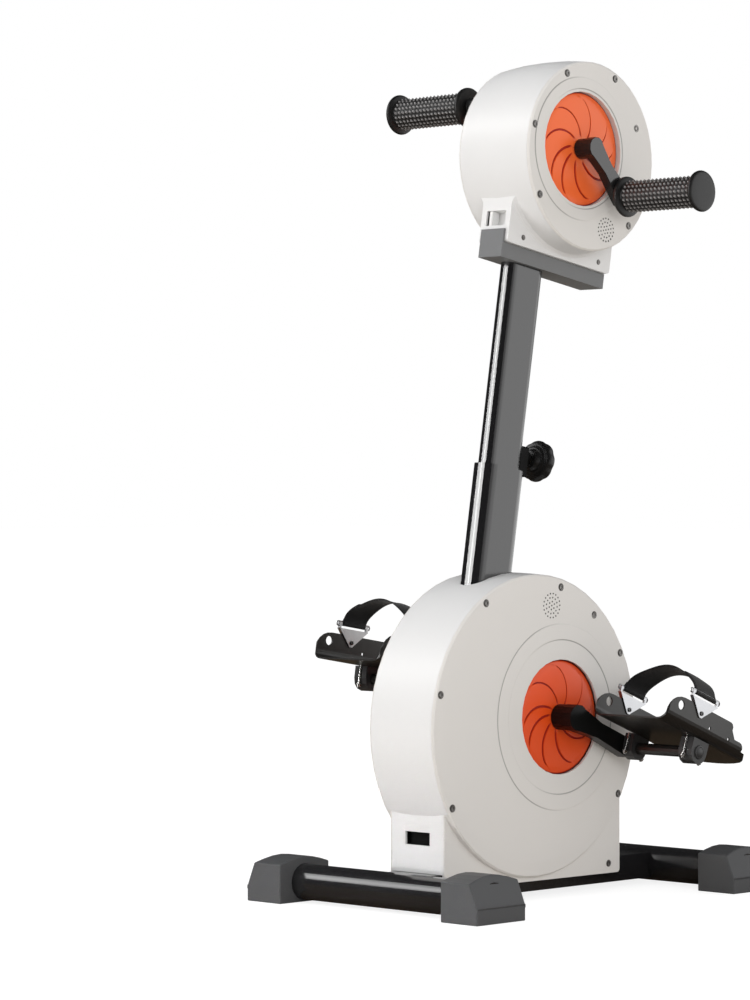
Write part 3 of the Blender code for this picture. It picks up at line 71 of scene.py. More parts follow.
# The middle of each drum as seen from its axle: how far back and up, in the drum's lean
LOWER_SHIFT, UPPER_SHIFT = (-0.0402, -0.0085), (0.017, -0.0048)
print("the post leans", round(math.degrees(LEAN), 1), "degrees")

# %% [markdown]
# The photograph was taken from the front right, level with the middle of the machine and
# with a long lens. The camera stands where that view comes out the same size.

# %% Camera
CAMERA_PLACE = Vector((2.7865, -3.0785, 0.4592))
CAMERA_AZIMUTH = 44.4
CAMERA_LENS, CAMERA_SENSOR = 128.4, 36


def add(name, data):
    """A new object in the scene."""
    made = bpy.data.objects.new(name, data)
    bpy.context.scene.collection.objects.link(made)
    return made


camera_data = bpy.data.cameras.new("camera")
camera_data.lens = CAMERA_LENS
camera_data.sensor_width = CAMERA_SENSOR
camera = add("camera", camera_data)
camera.location = CAMERA_PLACE
camera.rotation_euler = (math.radians(90), 0, math.radians(CAMERA_AZIMUTH))
bpy.context.scene.camera = camera
print("camera", round((CAMERA_PLACE - LOWER_AXIS).length, 2), "m from the lower crank")

# %% [markdown]
# Studio light: a broad lamp high on the left of the camera, one overhead, a low one in
# front, a narrow beam for the foot of the housing, one on the right, and a tall strip.
# Only the strip shows in shiny surfaces, and there alone: it draws the white line down the
# rounded front of the post.

# %% Lamps
LAMPS = (
    # name, stand, aim, size, power, beam in degrees, seen in mirrors
    ("key", (-1.8, -3.0, 3.0), (0.0, 0.0, 0.6), (2.4, 2.4), 9.0, 180, False),
    ("top", (-0.4, -0.9, 3.3), (0.0, 0.0, 0.6), (1.4, 1.4), 18.0, 180, False),
    ("low", (-1.6, -3.4, 0.25), (0.0, 0.0, 0.15), (1.6, 0.4), 41.0, 180, False),
    ("foot", (-0.9, -2.6, 0.1), (0.0, -0.15, 0.03), (0.9, 0.06), 0.16, 9, False),
    ("side", (3.2, -2.0, 1.3), (0.0, 0.0, 0.5), (1.6, 1.6), 37.0, 180, False),
    ("strip", (-0.75, -3.6, 0.9), (0.0, 0.0, 0.6), (0.24, 2.6), 66.0, 180, True),
)
for name, stand, aim, size, power, beam, mirrored in LAMPS:
    lamp_data = bpy.data.lights.new(name, "AREA")
    lamp_data.shape = "RECTANGLE"
    lamp_data.size, lamp_data.size_y = size
    lamp_data.energy, lamp_data.spread = power, math.radians(beam)
    lamp = add(name, lamp_data)
    lamp.location = stand
    lamp.visible_glossy, lamp.visible_diffuse = mirrored, not mirrored
    lamp.rotation_euler = (Vector(aim) - Vector(stand)).to_track_quat("-Z", "Y").to_euler()
print("lamps", len(LAMPS))

# %% [markdown]
# Finishes are node trees. To read like sums, they are written with a small class: a Wire
# holds one output socket, and adding or multiplying wires adds the Math nodes. Colours go
# through a Mix node instead, because a Math node turns a colour grey.

# %% Sums of sockets
class Wire:
    """One output socket of a node tree."""

    def __init__(self, tree, socket=None):
        self.tree = tree
        self.socket = socket

    def node(self, kind, settings=(), sockets=(), output=0):
        made = self.tree.nodes.new("ShaderNode" + kind)
        for name, value in dict(settings).items():
            setattr(made, name, value)
        for key, value in dict(sockets).items():
            if isinstance(value, Wire):
                self.tree.links.new(value.socket, made.inputs[key])
            else:
                made.inputs[key].default_value = value
        return Wire(self.tree, made.outputs[output])

    def math(self, operation, *values):
        return self.node("Math", {"operation": operation}, dict(enumerate(values)))

    def __add__(self, other):
        return self.math("ADD", self, other)

    __radd__ = __add__

    def __sub__(self, other):
        return self.math("SUBTRACT", self, other)

    def __rsub__(self, other):
        return self.math("SUBTRACT", other, self)

    def __mul__(self, other):
        return self.math("MULTIPLY", self, other)

    __rmul__ = __mul__

    def __gt__(self, other):
        return self.math("GREATER_THAN", self, other)

    def __lt__(self, other):
        return self.math("LESS_THAN", self, other)

    def mix(self, first, second):
        """Between two colours, by this wire."""
        return self.node("Mix", {"data_type": "RGBA"}, {0: self, 6: first, 7: second}, output=2)

    def vector(self, operation, *values, output="Vector"):
        return self.node("VectorMath", {"operation": operation}, dict(enumerate(values)), output)

    def dot(self, other):
        return self.vector("DOT_PRODUCT", self, other, output="Value")

    def smooth(self, low, high):
        """From 0 to 1, with soft ends, while this wire goes from low to high."""
        return self.node("MapRange", {"interpolation_type": "SMOOTHSTEP"},
                         {0: self, 1: low, 2: high})

    def spot(self, kind="Object"):
        """The place on the piece."""
        return self.node("TexCoord", output=kind)

    def kept(self, name):
        """A value that the mesh keeps with each of its points."""
        return self.node("Attribute", {"attribute_name": name}, output="Fac")

    def noise(self, scale, detail=2.0):
        """Noise at the place that this wire gives."""
        return self.node("TexNoise", {}, {"Vector": self, "Scale": scale, "Detail": detail})


print("wires ready")

# %% [markdown]
# The world is white to the camera, and its fill is moderate, so that white plastic doesn't
# burn out. Mirror rays see a studio: a pale wall behind on the right, a soft box high on
# the front left, and darkness elsewhere. Black paint needs that darkness, or it would look
# grey all over, and the soft box draws a line along the round tubes.

# %% World
WORLD_FILL, FILL_LOSS = 0.73, 0.26
STUDIO_DARK, STUDIO_WALL, STUDIO_BOX = 0.03, 1.58, 4.8
WALL_WAY = (0.67, 0.74, 0.0)
# Where each soft edge begins and ends, by how far a ray points that way
WALL_SIDE, BOX_SIDE = (0.7, 0.93), (0.45, 0.7)
BOX_FOOT, BOX_TOP = (0.34, 0.46), (0.5, 0.62)
WHITE = (1.0, 1.0, 1.0, 1.0)

world = bpy.data.worlds.new("studio")
world.use_nodes = True
bpy.context.scene.world = world
tree = world.node_tree
start = Wire(tree)
way = start.spot("Generated")
height, towards = way.dot((0.0, 0.0, 1.0)), way.dot(WALL_WAY)
box_band = height.smooth(*BOX_FOOT) - height.smooth(*BOX_TOP)
box = box_band * (towards * -1.0).smooth(*BOX_SIDE) * STUDIO_BOX
wall = towards.smooth(*WALL_SIDE) * STUDIO_WALL
mirrored = start.math("MAXIMUM", wall, box) + STUDIO_DARK
seen = start.node("LightPath", output="Is Camera Ray")
shiny = start.node("LightPath", output="Is Glossy Ray")
through = start.node("LightPath", output="Is Transmission Ray")
white = start.math("MAXIMUM", seen, through)
fill = WORLD_FILL - start.math("MAXIMUM", height, 0.0) * FILL_LOSS
strength = white + (1.0 - white) * (shiny * mirrored + (1.0 - shiny) * fill)
background = tree.nodes["Background"]
background.inputs["Color"].default_value = WHITE
tree.links.new(strength.socket, background.inputs["Strength"])
print("world fill", WORLD_FILL)

# %% [markdown]
# To the camera the floor is a pale sheet with a white glow, white out to the horizon, that
# still keeps the object's soft shadow. To every other ray it is a tan board, which warms
# the undersides. Mirror rays see a darker board, so that black paint stays black
# underneath, and far off, towards the studio's pale wall, one as bright as the wall.

# %% Floor
FLOOR_GLOW = 0.84
FLOOR_SHADE = (0.34, 0.34, 0.34, 1.0)
FLOOR_PAPER = (0.82, 0.77, 0.71, 1.0)
FLOOR_MIRRORED = (0.12, 0.085, 0.055, 1.0)
FAR_STARTS, FAR_ENDS = 0.8, 2.2
FLOOR_REACH = 40

floor_mesh = bpy.data.meshes.new("floor")
floor_mesh.from_pydata([(x * FLOOR_REACH, y * FLOOR_REACH, 0)
                        for x, y in ((-1, -1), (1, -1), (1, 1), (-1, 1))], [], [(0, 1, 2, 3)])
floor = add("floor", floor_mesh)
paper = bpy.data.materials.new("floor_paper")
paper.use_nodes = True
tree = paper.node_tree
tree.nodes.clear()
start = Wire(tree)
lit = start.node("BsdfDiffuse", sockets={"Color": FLOOR_SHADE})
glow = start.node("Emission", sockets={"Color": WHITE, "Strength": FLOOR_GLOW})
to_camera = start.node("AddShader", sockets={0: lit, 1: glow})
to_others = start.node("BsdfDiffuse", sockets={"Color": FLOOR_PAPER})
near_board = start.node("BsdfDiffuse", sockets={"Color": FLOOR_MIRRORED})
far_board = start.node("Emission", sockets={"Color": WHITE, "Strength": STUDIO_WALL})
far = start.spot().dot(WALL_WAY).smooth(FAR_STARTS, FAR_ENDS)
to_mirrors = start.node("MixShader", sockets={0: far, 1: near_board, 2: far_board})
seen = start.node("LightPath", output="Is Camera Ray")
shiny = start.node("LightPath", output="Is Glossy Ray")
unseen = start.node("MixShader", sockets={0: shiny, 1: to_others, 2: to_mirrors})
bright = start.node("MixShader", sockets={0: seen, 1: unseen, 2: to_camera})
end = tree.nodes.new("ShaderNodeOutputMaterial")
tree.links.new(bright.socket, end.inputs["Surface"])
floor_mesh.materials.append(paper)
print("floor", floor.dimensions.x, "m wide")

# %% [markdown]
# Moulded plastic is never one flat colour: the tool leaves a fine grain on it, and hands
# leave shinier places. Each plastic here has a grain of bump and a slow change of
# roughness and colour. The coordinates are the piece's own, so the grain turns with it.

# %% Helpers for finishes
SLOW_SCALE, GRAIN_SCALE = 14.0, 900.0
# How much the slow change and the grain add to the roughness, half of it below the mean
SLOW_GLOSS, GRAIN_GLOSS = 0.12, 0.06
COAT_ROUGHNESS = 0.12
# How dark the painted shade at a ring's edges makes the cover's colour
RING_SHADE_DARKNESS = 0.35
# A face belongs to a plate's flat when its normal's X, squared, is over this
PLATE_FACES = 0.85


def start_finish(name):
    """A new material, its shader, and a wire to build from."""
    finish = bpy.data.materials.new(name)
    finish.use_nodes = True
    shader = finish.node_tree.nodes["Principled BSDF"]
    return finish, shader, Wire(finish.node_tree)


def feed(wire, shader, socket):
    wire.tree.links.new(wire.socket, shader.inputs[socket])


def relief(start, shader, height, distance, **others):
    """Bump from a wire, on the shader's normal."""
    sockets = {"Height": height, "Distance": distance, **others}
    feed(start.node("Bump", sockets=sockets), shader, "Normal")


def hold(shader, values):
    for socket, value in values.items():
        shader.inputs[socket].default_value = value


def grey(value):
    return (value, value, value)


def shade(colour, factor=1.0):
    return tuple(min(1.0, channel * factor) for channel in colour) + (1.0,)


def away_from(start, centre):
    """The way to a place on the piece from an axle along X, and how far that is."""
    away = start.vector("SUBTRACT", start.spot(), tuple(centre))
    across = start.vector("MULTIPLY", away, (0.0, 1.0, 1.0))
    return away, start.vector("LENGTH", across, output="Value")


def moulded(name, colour, roughness, grain=GRAIN_SCALE, depth=0.00002, coat=0.0, change=0.04,
            curve=None, ring=None, plate=False):
    """A grained surface, its roughness and colour changing slowly over it.

    A plate keeps its clear coat to the faces that look along X."""
    finish, shader, start = start_finish(name)
    slow, fine = start.spot().noise(SLOW_SCALE, 3.0), start.spot().noise(grain)
    tint = slow.mix(shade(colour, 1.0 - change), shade(colour, 1.0 + change))
    # Painted shade: dark lines at the ring's edges, where its step would cast a shadow
    if ring:
        tint = painted_ring_shade(start, *ring).mix(tint, shade(colour, RING_SHADE_DARKNESS))
    feed(tint, shader, "Base Color")
    mean = (SLOW_GLOSS + GRAIN_GLOSS) / 2
    feed(slow * SLOW_GLOSS + fine * GRAIN_GLOSS + (roughness - mean), shader, "Roughness")
    rounded = {"Normal": round_normal(start, *curve)} if curve else {}
    relief(start, shader, fine * depth, 1.0, Strength=1.0, **rounded)
    hold(shader, {"Coat Weight": coat, "Coat Roughness": COAT_ROUGHNESS})
    if plate:
        along = start.spot("Normal").dot(ALONG_X)
        feed((along * along > PLATE_FACES) * coat, shader, "Coat Weight")
    return finish


print("finish helpers ready")

# %% [markdown]
# The big rounds of the model are many-sided, and each flat side would catch the light on
# its own. Where a flat side lies close to the true round, the finish lights it with the
# normal of the round. The round is described by a core, a line or strip that the surface
# stands off from, in a frame with its own place and lean.

# %% The normal of a rounded bar
CLOSE = 0.86


def round_normal(start, centre, core, lean=0.0, near=None):
    """The normal of the round where the surface is close to it, and its own elsewhere."""
    frame_turn = (-lean, 0.0, 0.0)
    local = start.node("Mapping", {"vector_type": "TEXTURE"},
                       {"Vector": start.spot(), "Location": centre, "Rotation": frame_turn})
    low = start.vector("MAXIMUM", local, tuple(-size for size in core))
    outward = start.vector("SUBTRACT", local, start.vector("MINIMUM", low, core))
    turned = start.node("Mapping", {"vector_type": "NORMAL"},
                        {"Vector": start.vector("NORMALIZE", outward), "Rotation": frame_turn})
    in_world = start.node("VectorTransform", {"vector_type": "NORMAL", "convert_from": "OBJECT",
                                              "convert_to": "WORLD"}, {"Vector": turned})
    flat = start.node("NewGeometry", output="True Normal")
    kept = in_world.dot(flat) > CLOSE
    if near:
        off = start.vector("LENGTH", outward, output="Value")
        kept = kept * (off > near[0]) * (off < near[1])
    return start.node("Mix", {"data_type": "VECTOR"}, {0: kept, 4: flat, 5: in_world}, output=1)


print("round normals ready")

# %% [markdown]
# A shallow ring stands round the disc on each cover, with painted shade at its edges where
# its step would cast a shadow: along the outer one at the front, along the inner one at the
# back. The shade is a share from nothing to one that goes up and down again over each edge.

# %% Painted shade at the edges of a ring
RING_EDGE = 0.0022
RING_SHADE_STRENGTH = 0.8
# The painted shade's front end begins and ends at these shares of the ring's radius
FRONT_STARTS, FRONT_ENDS = -0.15, 0.55


def painted_ring_shade(start, centre, inner, outer):
    """How much painted shade lies at a place on the cover."""
    away, reach = away_from(start, centre)
    half = RING_EDGE / 2
    past_outer = reach.smooth(outer - half, outer + half)
    past_inner = reach.smooth(inner - half, inner + half)
    forward = away.dot((0.0, 1.0, 0.0)) * -1.0
    front = forward.smooth(FRONT_STARTS * outer, FRONT_ENDS * outer)
    painted_shade = (past_outer * (1.0 - past_outer) * front
            + past_inner * (1.0 - past_inner) * (1.0 - front))
    return painted_shade * (4 * RING_SHADE_STRENGTH)


print("dust ready")

# %% [markdown]
# The rim bands are white and the covers a warm grey, the rest is mostly black or grey.
# Each finish gets a row with its colour, roughness, grain and clear coat. Some also say
# what round they follow, and five dull ones reflect less than the shader's plain setting.

# %% Plastics and paints
DRUM_LOWER = (0.0, LOWER_AXIS.y + LOWER_SHIFT[0], LOWER_AXIS.z + LOWER_SHIFT[1])
drum_shift = Matrix.Rotation(-LEAN, 3, "X") @ Vector((0.0, *UPPER_SHIFT))
DRUM_UPPER = tuple(UPPER_AXIS + drum_shift)
LOWER_ROUND = (DRUM_LOWER, ALONG_X, 0.0, (0.17, 0.178))
UPPER_ROUND = (DRUM_UPPER, ALONG_X, 0.0, (0.105, 0.1155))
POST_FOOT = (0.0, -0.1124, 0.0)
POST_ROUND = (POST_FOOT, (0.0, 0.019, 2.0), LEAN)
TUBE_BACK, TUBE_HEIGHT = 0.2202, 0.0229
COVER_COLOUR = (0.765, 0.745, 0.72)
LOWER_RING, UPPER_RING = (0.0893, 0.108), (0.07, 0.0835)
HOUSING = {"colour": grey(0.77), "roughness": 0.36, "depth": 0.000006, "change": 0.01}
COVER = {"colour": COVER_COLOUR, "roughness": 0.42, "depth": 0.00001, "change": 0.015}
TUBE = {"colour": (0.012, 0.012, 0.013), "roughness": 0.22, "grain": 700.0, "depth": 0.00001,
        "coat": 0.8}

LOWER_WHITE = moulded("housing_white_lower", **HOUSING, curve=LOWER_ROUND)
UPPER_WHITE = moulded("housing_white_upper", **HOUSING, curve=UPPER_ROUND)
PORT_WHITE = moulded("port_white", (0.8, 0.8, 0.795), 0.36, depth=0.000006, change=0.01)
LOWER_COVER = moulded("cover_lower", **COVER, ring=(LOWER_AXIS, *LOWER_RING))
UPPER_COVER = moulded("cover_upper", **COVER, ring=(UPPER_AXIS, *UPPER_RING))
BLACK_PLASTIC = moulded("black_plastic", grey(0.008), 0.3)
DEEP_BLACK = moulded("deep_black", grey(0.003), 0.55)
FOOT_PLASTIC = moulded("foot_plastic", (0.086, 0.088, 0.092), 0.46, depth=0.00004)
BLACK_PAINT = moulded("black_paint", **TUBE)
FRONT_TUBE = moulded("front_tube", **TUBE, curve=((0.0, -TUBE_BACK, TUBE_HEIGHT), ALONG_X))
REAR_TUBE = moulded("rear_tube", **TUBE, curve=((0.0, TUBE_BACK, TUBE_HEIGHT), ALONG_X))
POST_PAINT = moulded("post_paint", (0.009, 0.009, 0.01), 0.16, 700.0, 0.00001, coat=0.8,
                     curve=POST_ROUND)
TRAY_PAINT = moulded("tray_paint", (0.012, 0.011, 0.01), 0.34, 600.0, 0.00003, coat=0.1)
ARM_PAINT = moulded("arm_paint", grey(0.005), 0.34, 600.0)
UPPER_ARM_PAINT = moulded("upper_arm_paint", grey(0.014), 0.24, 600.0, coat=1.0, plate=True)
BRACKET_PAINT = moulded("bracket_paint", (0.175, 0.179, 0.184), 0.46, 700.0)
KNOB_PLASTIC = moulded("knob_plastic", grey(0.006), 0.42)
CLAMP_NYLON = moulded("clamp_nylon", (0.025, 0.025, 0.026), 0.42)
RUBBER = moulded("rubber", (0.04, 0.039, 0.04), 0.38, 1200.0, 0.00003)
for dull, level in ((FOOT_PLASTIC, 0.2), (ARM_PAINT, 0.2), (UPPER_ARM_PAINT, 0.25),
                    (DEEP_BLACK, 0.1), (BRACKET_PAINT, 0.3)):
    hold(dull.node_tree.nodes["Principled BSDF"], {"Specular IOR Level": level})
print("plastics and paints", len(bpy.data.materials))

# %% [markdown]
# Bare metal is mirror bright with fine scratches. The scratches run along the piece's
# width, as a brush leaves them, so the noise is squeezed along one axis.

# %% Metals
def brushed(name, colour, roughness, along=(1.0, 1.0, 1.0)):
    finish, shader, start = start_finish(name)
    squeezed = start.node("Mapping", {}, {"Vector": start.spot(), "Scale": along})
    lines = squeezed.noise(GRAIN_SCALE, 3.0)
    feed(lines.mix(shade(colour, 0.9), shade(colour, 1.08)), shader, "Base Color")
    feed(lines * 0.16 + (roughness - 0.08), shader, "Roughness")
    hold(shader, {"Metallic": 1.0})
    return finish


BRIGHT_STEEL = brushed("bright_steel", (0.62, 0.61, 0.6), 0.26, (0.1, 1.0, 1.0))
BUCKLE_STEEL = brushed("buckle_steel", (0.62, 0.63, 0.65), 0.36, (1.0, 0.15, 1.0))
MOTOR_METAL = brushed("motor_metal", (0.42, 0.42, 0.43), 0.38)
SCREW_STEEL = brushed("screw_steel", (0.28, 0.27, 0.26), 0.5)
GREY_STEEL = moulded("grey_steel", (0.3, 0.3, 0.31), 0.4)
BOARD_GREEN = moulded("board_green", (0.03, 0.16, 0.06), 0.4)
print("metals done")

# %% [markdown]
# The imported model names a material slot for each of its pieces. A table turns each slot
# into a finish, and a second table names the pieces that need one of their own.

# %% Finishes of the model's own pieces
CAD_FINISH = {
    "white_plastic": PORT_WHITE, "warm_grey_plastic": LOWER_COVER, "orange_plastic": PORT_WHITE,
    "black_plastic": BLACK_PLASTIC, "foot_plastic": FOOT_PLASTIC, "black_tube": BLACK_PAINT,
    "grey_steel": GREY_STEEL, "bracket_grey": BRACKET_PAINT, "black_enamel": TRAY_PAINT,
    "dark_grey_enamel": UPPER_ARM_PAINT, "clamp_black": CLAMP_NYLON, "bright_steel": BRIGHT_STEEL,
    "buckle_steel": BUCKLE_STEEL, "motor_metal": MOTOR_METAL, "board_green": BOARD_GREEN,
    "black_rubber": RUBBER, "black_webbing": RUBBER,
}
OWN_FINISH = {
    "post_sleeve": POST_PAINT, "mast_tube": POST_PAINT, "lock_bracket": DEEP_BLACK,
    # The port's deep black is partly its own black plastic and partly painted shade inside its recess
    "power_inlet": DEEP_BLACK,
    "lower_rim_shell": LOWER_WHITE, "upper_rim_shell": UPPER_WHITE, "base_beam": BLACK_PAINT,
    "upper_side_cover_left": UPPER_COVER, "upper_side_cover_right": UPPER_COVER,
    "front_foot_tube": FRONT_TUBE, "rear_foot_tube": REAR_TUBE,
    "lower_crank_arm_left": ARM_PAINT, "lower_crank_arm_right": ARM_PAINT,
}
for part in frame["record"]["subparts"]:
    node = NODES[part["node"]]
    finish = OWN_FINISH.get(part["node"], CAD_FINISH[part["material_slot"]])
    node.data.materials.clear()
    node.data.materials.append(finish)

# %% [markdown]
# A few helpers make the meshes: they join rows of points into a skin, seal it and spin a
# profile. The last ones put a piece on the body it moves with, and face it the right way.

# %% Mesh helpers
MM = 0.001


def turns(count):
    """Angles in even steps, once round."""
    return [2 * math.pi * i / count for i in range(count)]


def at_turn(radius, turn, height):
    return radius * math.cos(turn), radius * math.sin(turn), height


def skin(rows, closed=False):
    """A mesh of quads between rings of points. If closed, the last row meets the first."""
    bm = bmesh.new()
    made = [[bm.verts.new(point) for point in row] for row in rows]
    pairs = list(zip(made, made[1:]))
    if closed:
        pairs.append((made[-1], made[0]))
    for low, high in pairs:
        for i in range(len(low)):
            j = (i + 1) % len(low)
            bm.faces.new((low[i], low[j], high[j], high[i]))
    return bm


def sealed(bm):
    """The mesh with its double points joined and its faces looking outwards."""
    bmesh.ops.remove_doubles(bm, verts=bm.verts, dist=1e-6)
    bmesh.ops.recalc_face_normals(bm, faces=bm.faces)
    return bm


def capped(bm):
    """The mesh with its open ends filled and its faces looking outwards."""
    rims = [edge for edge in bm.edges if edge.is_boundary]
    bmesh.ops.holes_fill(bm, edges=rims, sides=0)
    bmesh.ops.recalc_face_normals(bm, faces=bm.faces)
    return bm


def spin(profile, sides, closed=False):
    """A body turned about local Z, from pairs of radius and height.

    The profile starts and ends on the axis, or else it is closed, and makes a ring."""
    rows = [[at_turn(radius, turn, height) for turn in turns(sides)] for radius, height in profile]
    return sealed(skin(rows, closed))


def place(name, bm, turn, finish, body, sharp=35):
    """The mesh as a piece, put in its place and riding on its body."""
    mesh = bpy.data.meshes.new(name)
    bm.transform(turn)
    bm.to_mesh(mesh)
    bm.free()
    mesh.materials.append(finish)
    mesh.shade_smooth()
    mesh.set_sharp_from_angle(angle=math.radians(sharp))
    piece = add(name, mesh)
    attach(piece, body)
    return piece


def outer_face(node, sign):
    """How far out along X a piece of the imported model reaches, on one side."""
    low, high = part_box(node)
    return high.x if sign > 0 else low.x


def facing(point, out):
    """A frame at a point: local Z along out, local Y as near up as it goes."""
    out = Vector(out).normalized()
    across = Vector((0.0, 0.0, 1.0)).cross(out).normalized()
    over = out.cross(across)
    turn = Matrix((across, over, out)).transposed().to_4x4()
    return Matrix.Translation(Vector(point)) @ turn


print("helpers ready")

# %% [markdown]
# Each crank turns a disc of orange plastic with curved slots, like the blades of a fan.
# The surface itself is shaped: its columns of points lean over along the curve of the
# blades, so that a slot is only a pair of columns pushed in. Between two slots the blade
# rises a little.

# %% The shape of a disc
DISC_RADIUS = 0.0661
SLOT_DEPTH, SLOT_HALF = 0.0011, 0.0011
BLADE_RISE, DISC_DOME = 0.001, 0.0008
EDGE_ROUND, DISC_BACK = 0.0009, -0.0032
# From here on, a ring's place is a share of the disc's radius
SLOT_OPENS, SLOT_CLOSES = (0.2, 0.27), (0.87, 0.9)
BLADE_OPENS, BLADE_CLOSES = (0.18, 0.4), (0.86, 0.97)
EDGE_STARTS, RIM_STARTS = 0.975, 0.985
REACHES = (0.139, 0.18, 0.215, *(0.25 + 0.65 * i / 26 for i in range(27)),
           0.915, 0.93, 0.95, 0.975, 0.99, 1.0)
# The columns of a slot: how many half widths from its middle, how deep, how high
SLOT_COLUMNS = ((-1.5, 0.0, 0.0), (-1.0, 1.0, 0.0), (1.0, 1.0, 0.0), (1.5, 0.0, 1.0))
BLADE_STEPS, BLADE_FALL = 8, 1.5
CURVE = ((0.0, -0.45), (0.25, -0.35), (0.4, -0.21), (0.55, -0.07), (0.62, 0.0), (0.75, 0.15),
         (0.85, 0.29), (0.93, 0.44), (1.0, 0.6))


def lean_of(reach):
    """How far a blade's edge has turned, in radians, at a share of the radius."""
    for (low, first), (high, second) in zip(CURVE, CURVE[1:]):
        if reach <= high:
            share = (reach - low) / (high - low)
            return first + (second - first) * share
    return CURVE[-1][1]


def soft_step(value, low, high):
    share = min(1.0, max(0.0, (value - low) / (high - low)))
    return share * share * (3 - 2 * share)


def slotted_disc(angles, hand):
    """A shaped disc about local Z, with a slot at each angle in degrees."""
    angles = sorted(math.radians(angle) for angle in angles)
    rows, slots = [], []
    for reach in REACHES:
        radius, curve = reach * DISC_RADIUS, lean_of(reach)
        inside = soft_step(reach, *SLOT_OPENS) * (1 - soft_step(reach, *SLOT_CLOSES))
        row = []
        for k, angle in enumerate(angles):
            gap = (angles[(k + 1) % len(angles)] - angle) % (2 * math.pi)
            for beside, depth, rise in SLOT_COLUMNS:
                turn = angle + beside * SLOT_HALF / radius + curve
                row.append((turn, depth * inside, rise))
            for i in range(1, BLADE_STEPS):
                share = i / BLADE_STEPS
                row.append((angle + gap * share + curve, 0.0, (1 - share) ** BLADE_FALL))
        fade = soft_step(reach, *BLADE_OPENS) * (1 - soft_step(reach, *BLADE_CLOSES))
        edge = EDGE_ROUND * soft_step(reach, EDGE_STARTS, 1.0)
        level = -edge - BLADE_RISE - DISC_DOME * reach ** 2
        rows.append([(radius * math.cos(turn), hand * radius * math.sin(turn),
                      BLADE_RISE * rise * fade - SLOT_DEPTH * depth + level)
                     for turn, depth, rise in row])
        slots += [1.0 if reach > RIM_STARTS else depth for turn, depth, rise in row]
    back = [[(x, y, DISC_BACK) for x, y, z in rows[-1]]]
    bm = skin(rows + back)
    if hand < 0:
        bmesh.ops.reverse_faces(bm, faces=bm.faces)
    layer = bm.verts.layers.float.new("slot")
    for vert, depth in zip(bm.verts, slots + [1.0] * len(back[0])):
        vert[layer] = depth
    return bm


print("blade curve", len(CURVE), "knots")

# %% [markdown]
# The disc's orange is satin plastic. In the slots and round the rim it falls to a deep
# red, because light only gets there by bouncing off orange walls: the depth, kept with
# each point of the mesh, mixes the two. The finish's relief makes the slight dome stronger.

# %% Orange finish
SHADED_DOME = 0.005
DISC_ROUGHNESS = 0.36


def orange_finish(name, colour, deep, centre):
    finish, shader, start = start_finish(name)
    reach = away_from(start, centre)[1]
    fall = reach * reach * (-SHADED_DOME / DISC_RADIUS ** 2)
    slow, fine = start.spot().noise(22.0, 3.0), start.spot().noise(GRAIN_SCALE)
    slot = start.kept("slot")
    body_colour = slow.mix(shade(colour, 0.96), shade(colour, 1.04))
    feed(slot.mix(body_colour, (*deep, 1.0)), shader, "Base Color")
    feed(slow * 0.1 + slot * 0.2 + (DISC_ROUGHNESS - 0.05), shader, "Roughness")
    relief(start, shader, fall + fine * 0.00001, 1.0)
    return finish


# Both discs are one plastic: the upper finish's lighter, more orange colour is painted light
LOWER_ORANGE = orange_finish("disc_orange_lower", (0.82, 0.082, 0.01), (0.36, 0.01, 0.004),
                             LOWER_AXIS)
UPPER_ORANGE = orange_finish("disc_orange_upper", (0.99, 0.16, 0.034), (0.42, 0.012, 0.005),
                             UPPER_AXIS)
print("orange ready")

# %% [markdown]
# The slots stand at uneven angles, which differ between the two drums. The left discs
# carry the same slots half a turn further on, like the crank arms. Each shaped disc takes
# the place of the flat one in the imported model, with its face at the same depth.

# %% The four discs
UPPER_SLOTS = (15, 64, 108, 150, 192, 222, 262, 308, 340)
LOWER_SLOTS = (26, 72, 117, 163, 190, 228, 272, 320, 350)
DISC_SEATS = (("lower", LOWER_AXIS, LOWER_SLOTS, LOWER_ORANGE),
              ("upper", UPPER_AXIS, UPPER_SLOTS, UPPER_ORANGE))
for prefix, axis, slots, orange in DISC_SEATS:
    for side, sign in SIDES:
        node = f"{prefix}_swirl_disc_{side}"
        face = (outer_face(node, sign), axis.y, axis.z)
        disc = place(f"{prefix}_slotted_disc_{side}", slotted_disc(slots, sign),
                     facing(face, (sign, 0.0, 0.0)), orange, f"{prefix}_crank",
                     50)
        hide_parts(node)
print("discs", len(DISC_SEATS) * 2)

# %% [markdown]
# The pedals lean back at their own angles, and each carries a strap, buckles and clamps.
# A frame on each pedal's pin, with Y towards the heel and Z up from the sole, lets both
# pedals be made from the same numbers.

# %% Frames on the pedals
PEDAL_PITCH = {"left": 9.0, "right": 21.0}
PEDAL_FRAMES = {}
STILL = Matrix.Identity(4)
for side, sign in SIDES:
    pin = Vector(JOINTS[f"pedal_{side}_spin"]["pos_m"])
    low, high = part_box(f"pedal_tray_{side}")
    middle = Vector(((low.x + high.x) / 2, pin.y, pin.z))
    pitch = Matrix.Rotation(-math.radians(PEDAL_PITCH[side]), 4, "X")
    PEDAL_FRAMES[side] = Matrix.Translation(middle) @ pitch


def on_pedal(name, bm, side, finish, sharp=35, turn=STILL):
    """A mesh made in the pedal's frame, as a piece that rides on the pedal."""
    return place(f"{name}_{side}", bm, PEDAL_FRAMES[side] @ turn, finish, f"pedal_{side}",
                 sharp)


print("pedals pitched by", PEDAL_PITCH)

# %% [markdown]
# A foot strap is a band of woven nylon. It folds round the bar of each buckle and comes
# back along itself, so it is one long path: a tail, a turn round the bar, the arch over
# the foot, the other bar and the other tail. Its edges wave a little, and the tail
# follows the same wave, so the two layers never cut through each other.

